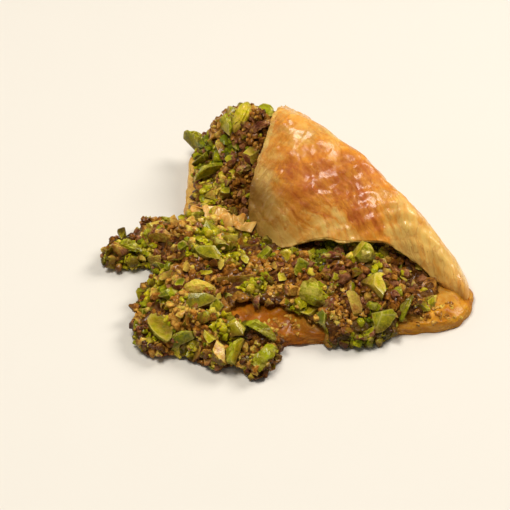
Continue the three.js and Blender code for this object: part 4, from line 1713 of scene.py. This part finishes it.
def torn_scrap(k, u, v, turn, length, height, settings):
    """The k-th scrap of leaf, standing ruffled on the nuts."""
    above = Vector(to_metres((u, v, HIGH)))
    nuts = heap_state["heap"].filling.ray_cast(above, -UP)[0].z / MM
    along = np.linspace(-0.5, 0.5, 72)[:, None]
    up = np.linspace(0, 1, 9)[None, :]
    run = along * length
    ruffle = waves(run, up, 3.4, 1.2, 180 + k) + 0.3 * waves(run, up, 1.3, 0.6, 184 + k)
    ragged = 0.85 + 0.8 * waves(run, 0, 2.4, 1, 192 + k) + 0.12 * waves(run, 0, 0.8, 1, 196 + k)
    a = run * (1 + 0.2 * up) + 1.0 * waves(run, up, 3.0, 1, 188 + k) * up
    b = 1.6 * ruffle * (0.3 + up) - 0.7 * height * (up - 0.4)
    z = nuts + 0.6 + 0.7 * height * up * ragged * (1 - 1.6 * np.abs(along) ** 2)
    cos, sin = math.cos(math.radians(turn)), math.sin(math.radians(turn))
    places = np.stack([u + a * cos - b * sin, v + a * sin + b * cos, z], axis=-1)
    values = {"bake": 0.05 + 0.25 * up * ragged, "soak": 0.3 - 0.3 * up + 0 * run}
    scrap, _, _ = sheet_piece(f"scrap_{k}", places, np.stack([a / 10, z / 10], axis=-1), values)
    apply_modifier(scrap, "SOLIDIFY", thickness=settings.leaf_thickness, offset=0.0)
    return scrap


class BAKLAVA_OT_skins(bpy.types.Operator):
    """Lays the scraps of papery skin and of torn leaf on the nuts"""

    bl_idname = "baklava.skins"
    bl_label = "Skins and torn leaf"

    def execute(self, context):
        filling, pastry = context.scene.baklava_filling, context.scene.baklava_pastry
        rng = np.random.default_rng(7)
        flakes = [flake_shape(rng) for _ in range(6)]
        heap = heap_state["heap"]
        copies = heap.lay(rng, flakes, filling.skins, (1.6, 3.2), 0.6, -0.35, 9000, 0.7)
        none = np.zeros(len(copies))
        piece = join_copies("skins", copies, none, rng.beta(1.0, 2.2, len(copies)), none)
        finish_piece(piece, nut_material(filling), "filling", math.radians(50))
        scraps = [torn_scrap(k, *leaf, pastry) for k, leaf in enumerate(TORN_LEAVES)]
        finish_piece(join_pieces("torn_leaves", scraps), baked_leaf(pastry), "filling")
        return {"FINISHED"}


def area_light(name, place, target, width, power, colour):
    """A soft round light aimed at a point."""
    data = bpy.data.lights.new(name, "AREA")
    data.shape = "DISK"
    data.size = width
    data.energy = power
    data.color = colour
    light = bpy.data.objects.new(name, data)
    bpy.context.scene.collection.objects.link(light)
    light.location = place
    light.rotation_euler = (target - place).to_track_quat("-Z", "Y").to_euler()


class BAKLAVA_OT_stage(bpy.types.Operator):
    """Sets the pale table, the soft lights and the camera"""

    bl_idname = "baklava.stage"
    bl_label = "Stage"

    def execute(self, context):
        settings = context.scene.baklava_stage
        bpy.ops.object.select_all(action="DESELECT")
        bpy.ops.mesh.primitive_plane_add(size=40.0, location=(0, 0, 0))
        floor = context.object
        floor.name = "floor"
        floor.data.materials.append(floor_material(settings))

        low, high = (Vector(corner) for corner in cad_bounds)
        middle = (low + high) / 2
        away = Vector((-math.sin(settings.azimuth), math.cos(settings.azimuth), 0))
        right = Vector((math.cos(settings.azimuth), math.sin(settings.azimuth), 0))
        circled = Vector((middle.x, middle.y, 0)) + CIRCLED_OFFSET
        flat = settings.distance * math.cos(settings.elevation)
        place = circled - away * flat + UP * (settings.distance * math.sin(settings.elevation))
        data = bpy.data.cameras.new("camera")
        data.lens = settings.lens
        data.sensor_width = 36
        camera = bpy.data.objects.new("camera", data)
        context.scene.collection.objects.link(camera)
        camera.location = place
        camera.rotation_euler = (middle - place + TARGET_OFFSET).to_track_quat("-Z", "Y").to_euler()
        context.scene.camera = camera

        for name, to_right, to_away, to_up, width, power, colour in LIGHTS:
            light_place = middle + right * to_right + away * to_away + UP * to_up
            area_light(name, light_place, middle, width, power, colour)
        world = bpy.data.worlds.new("room")
        world.use_nodes = True
        background = world.node_tree.nodes["Background"]
        background.inputs["Color"].default_value = (1.0, 0.955, 0.88, 1.0)
        background.inputs["Strength"].default_value = 0.19
        context.scene.world = world
        context.scene.view_settings.view_transform = "Standard"
        return {"FINISHED"}


class BAKLAVA_PT_panel(bpy.types.Panel):
    """Lists the steps and settings of the baklava piece"""

    bl_label = "Baklava"
    bl_idname = "BAKLAVA_PT_panel"
    bl_space_type = "VIEW_3D"
    bl_region_type = "UI"
    bl_category = "Baklava"

    def draw(self, context):
        scene = context.scene
        for settings in (scene.baklava_pastry, scene.baklava_filling, scene.baklava_stage):
            box = self.layout.box()
            for name in settings.bl_rna.properties.keys():
                if name not in {"rna_type", "name"}:
                    box.prop(settings, name)
        for step in STEPS:
            self.layout.operator(step.bl_idname)


SETTINGS = (PastrySettings, FillingSettings, StageSettings)
STEPS = (
    BAKLAVA_OT_fold,
    BAKLAVA_OT_fold_edges,
    BAKLAVA_OT_bottom_stack,
    BAKLAVA_OT_crumb,
    BAKLAVA_OT_kernels,
    BAKLAVA_OT_chopped,
    BAKLAVA_OT_skins,
    BAKLAVA_OT_stage,
)


def register():
    """Adds the settings, steps and panel."""
    for thing in (*SETTINGS, *STEPS, BAKLAVA_PT_panel):
        bpy.utils.register_class(thing)
    bpy.types.Scene.baklava_pastry = bpy.props.PointerProperty(type=PastrySettings)
    bpy.types.Scene.baklava_filling = bpy.props.PointerProperty(type=FillingSettings)
    bpy.types.Scene.baklava_stage = bpy.props.PointerProperty(type=StageSettings)


def unregister():
    """Removes them again."""
    del bpy.types.Scene.baklava_stage
    del bpy.types.Scene.baklava_filling
    del bpy.types.Scene.baklava_pastry
    for thing in reversed((*SETTINGS, *STEPS, BAKLAVA_PT_panel)):
        bpy.utils.unregister_class(thing)


def main():
    """Builds the piece and its stage."""
    register()
    for step in STEPS:
        group, name = step.bl_idname.split(".")
        getattr(getattr(bpy.ops, group), name)()


if __name__ == "__main__":
    main()
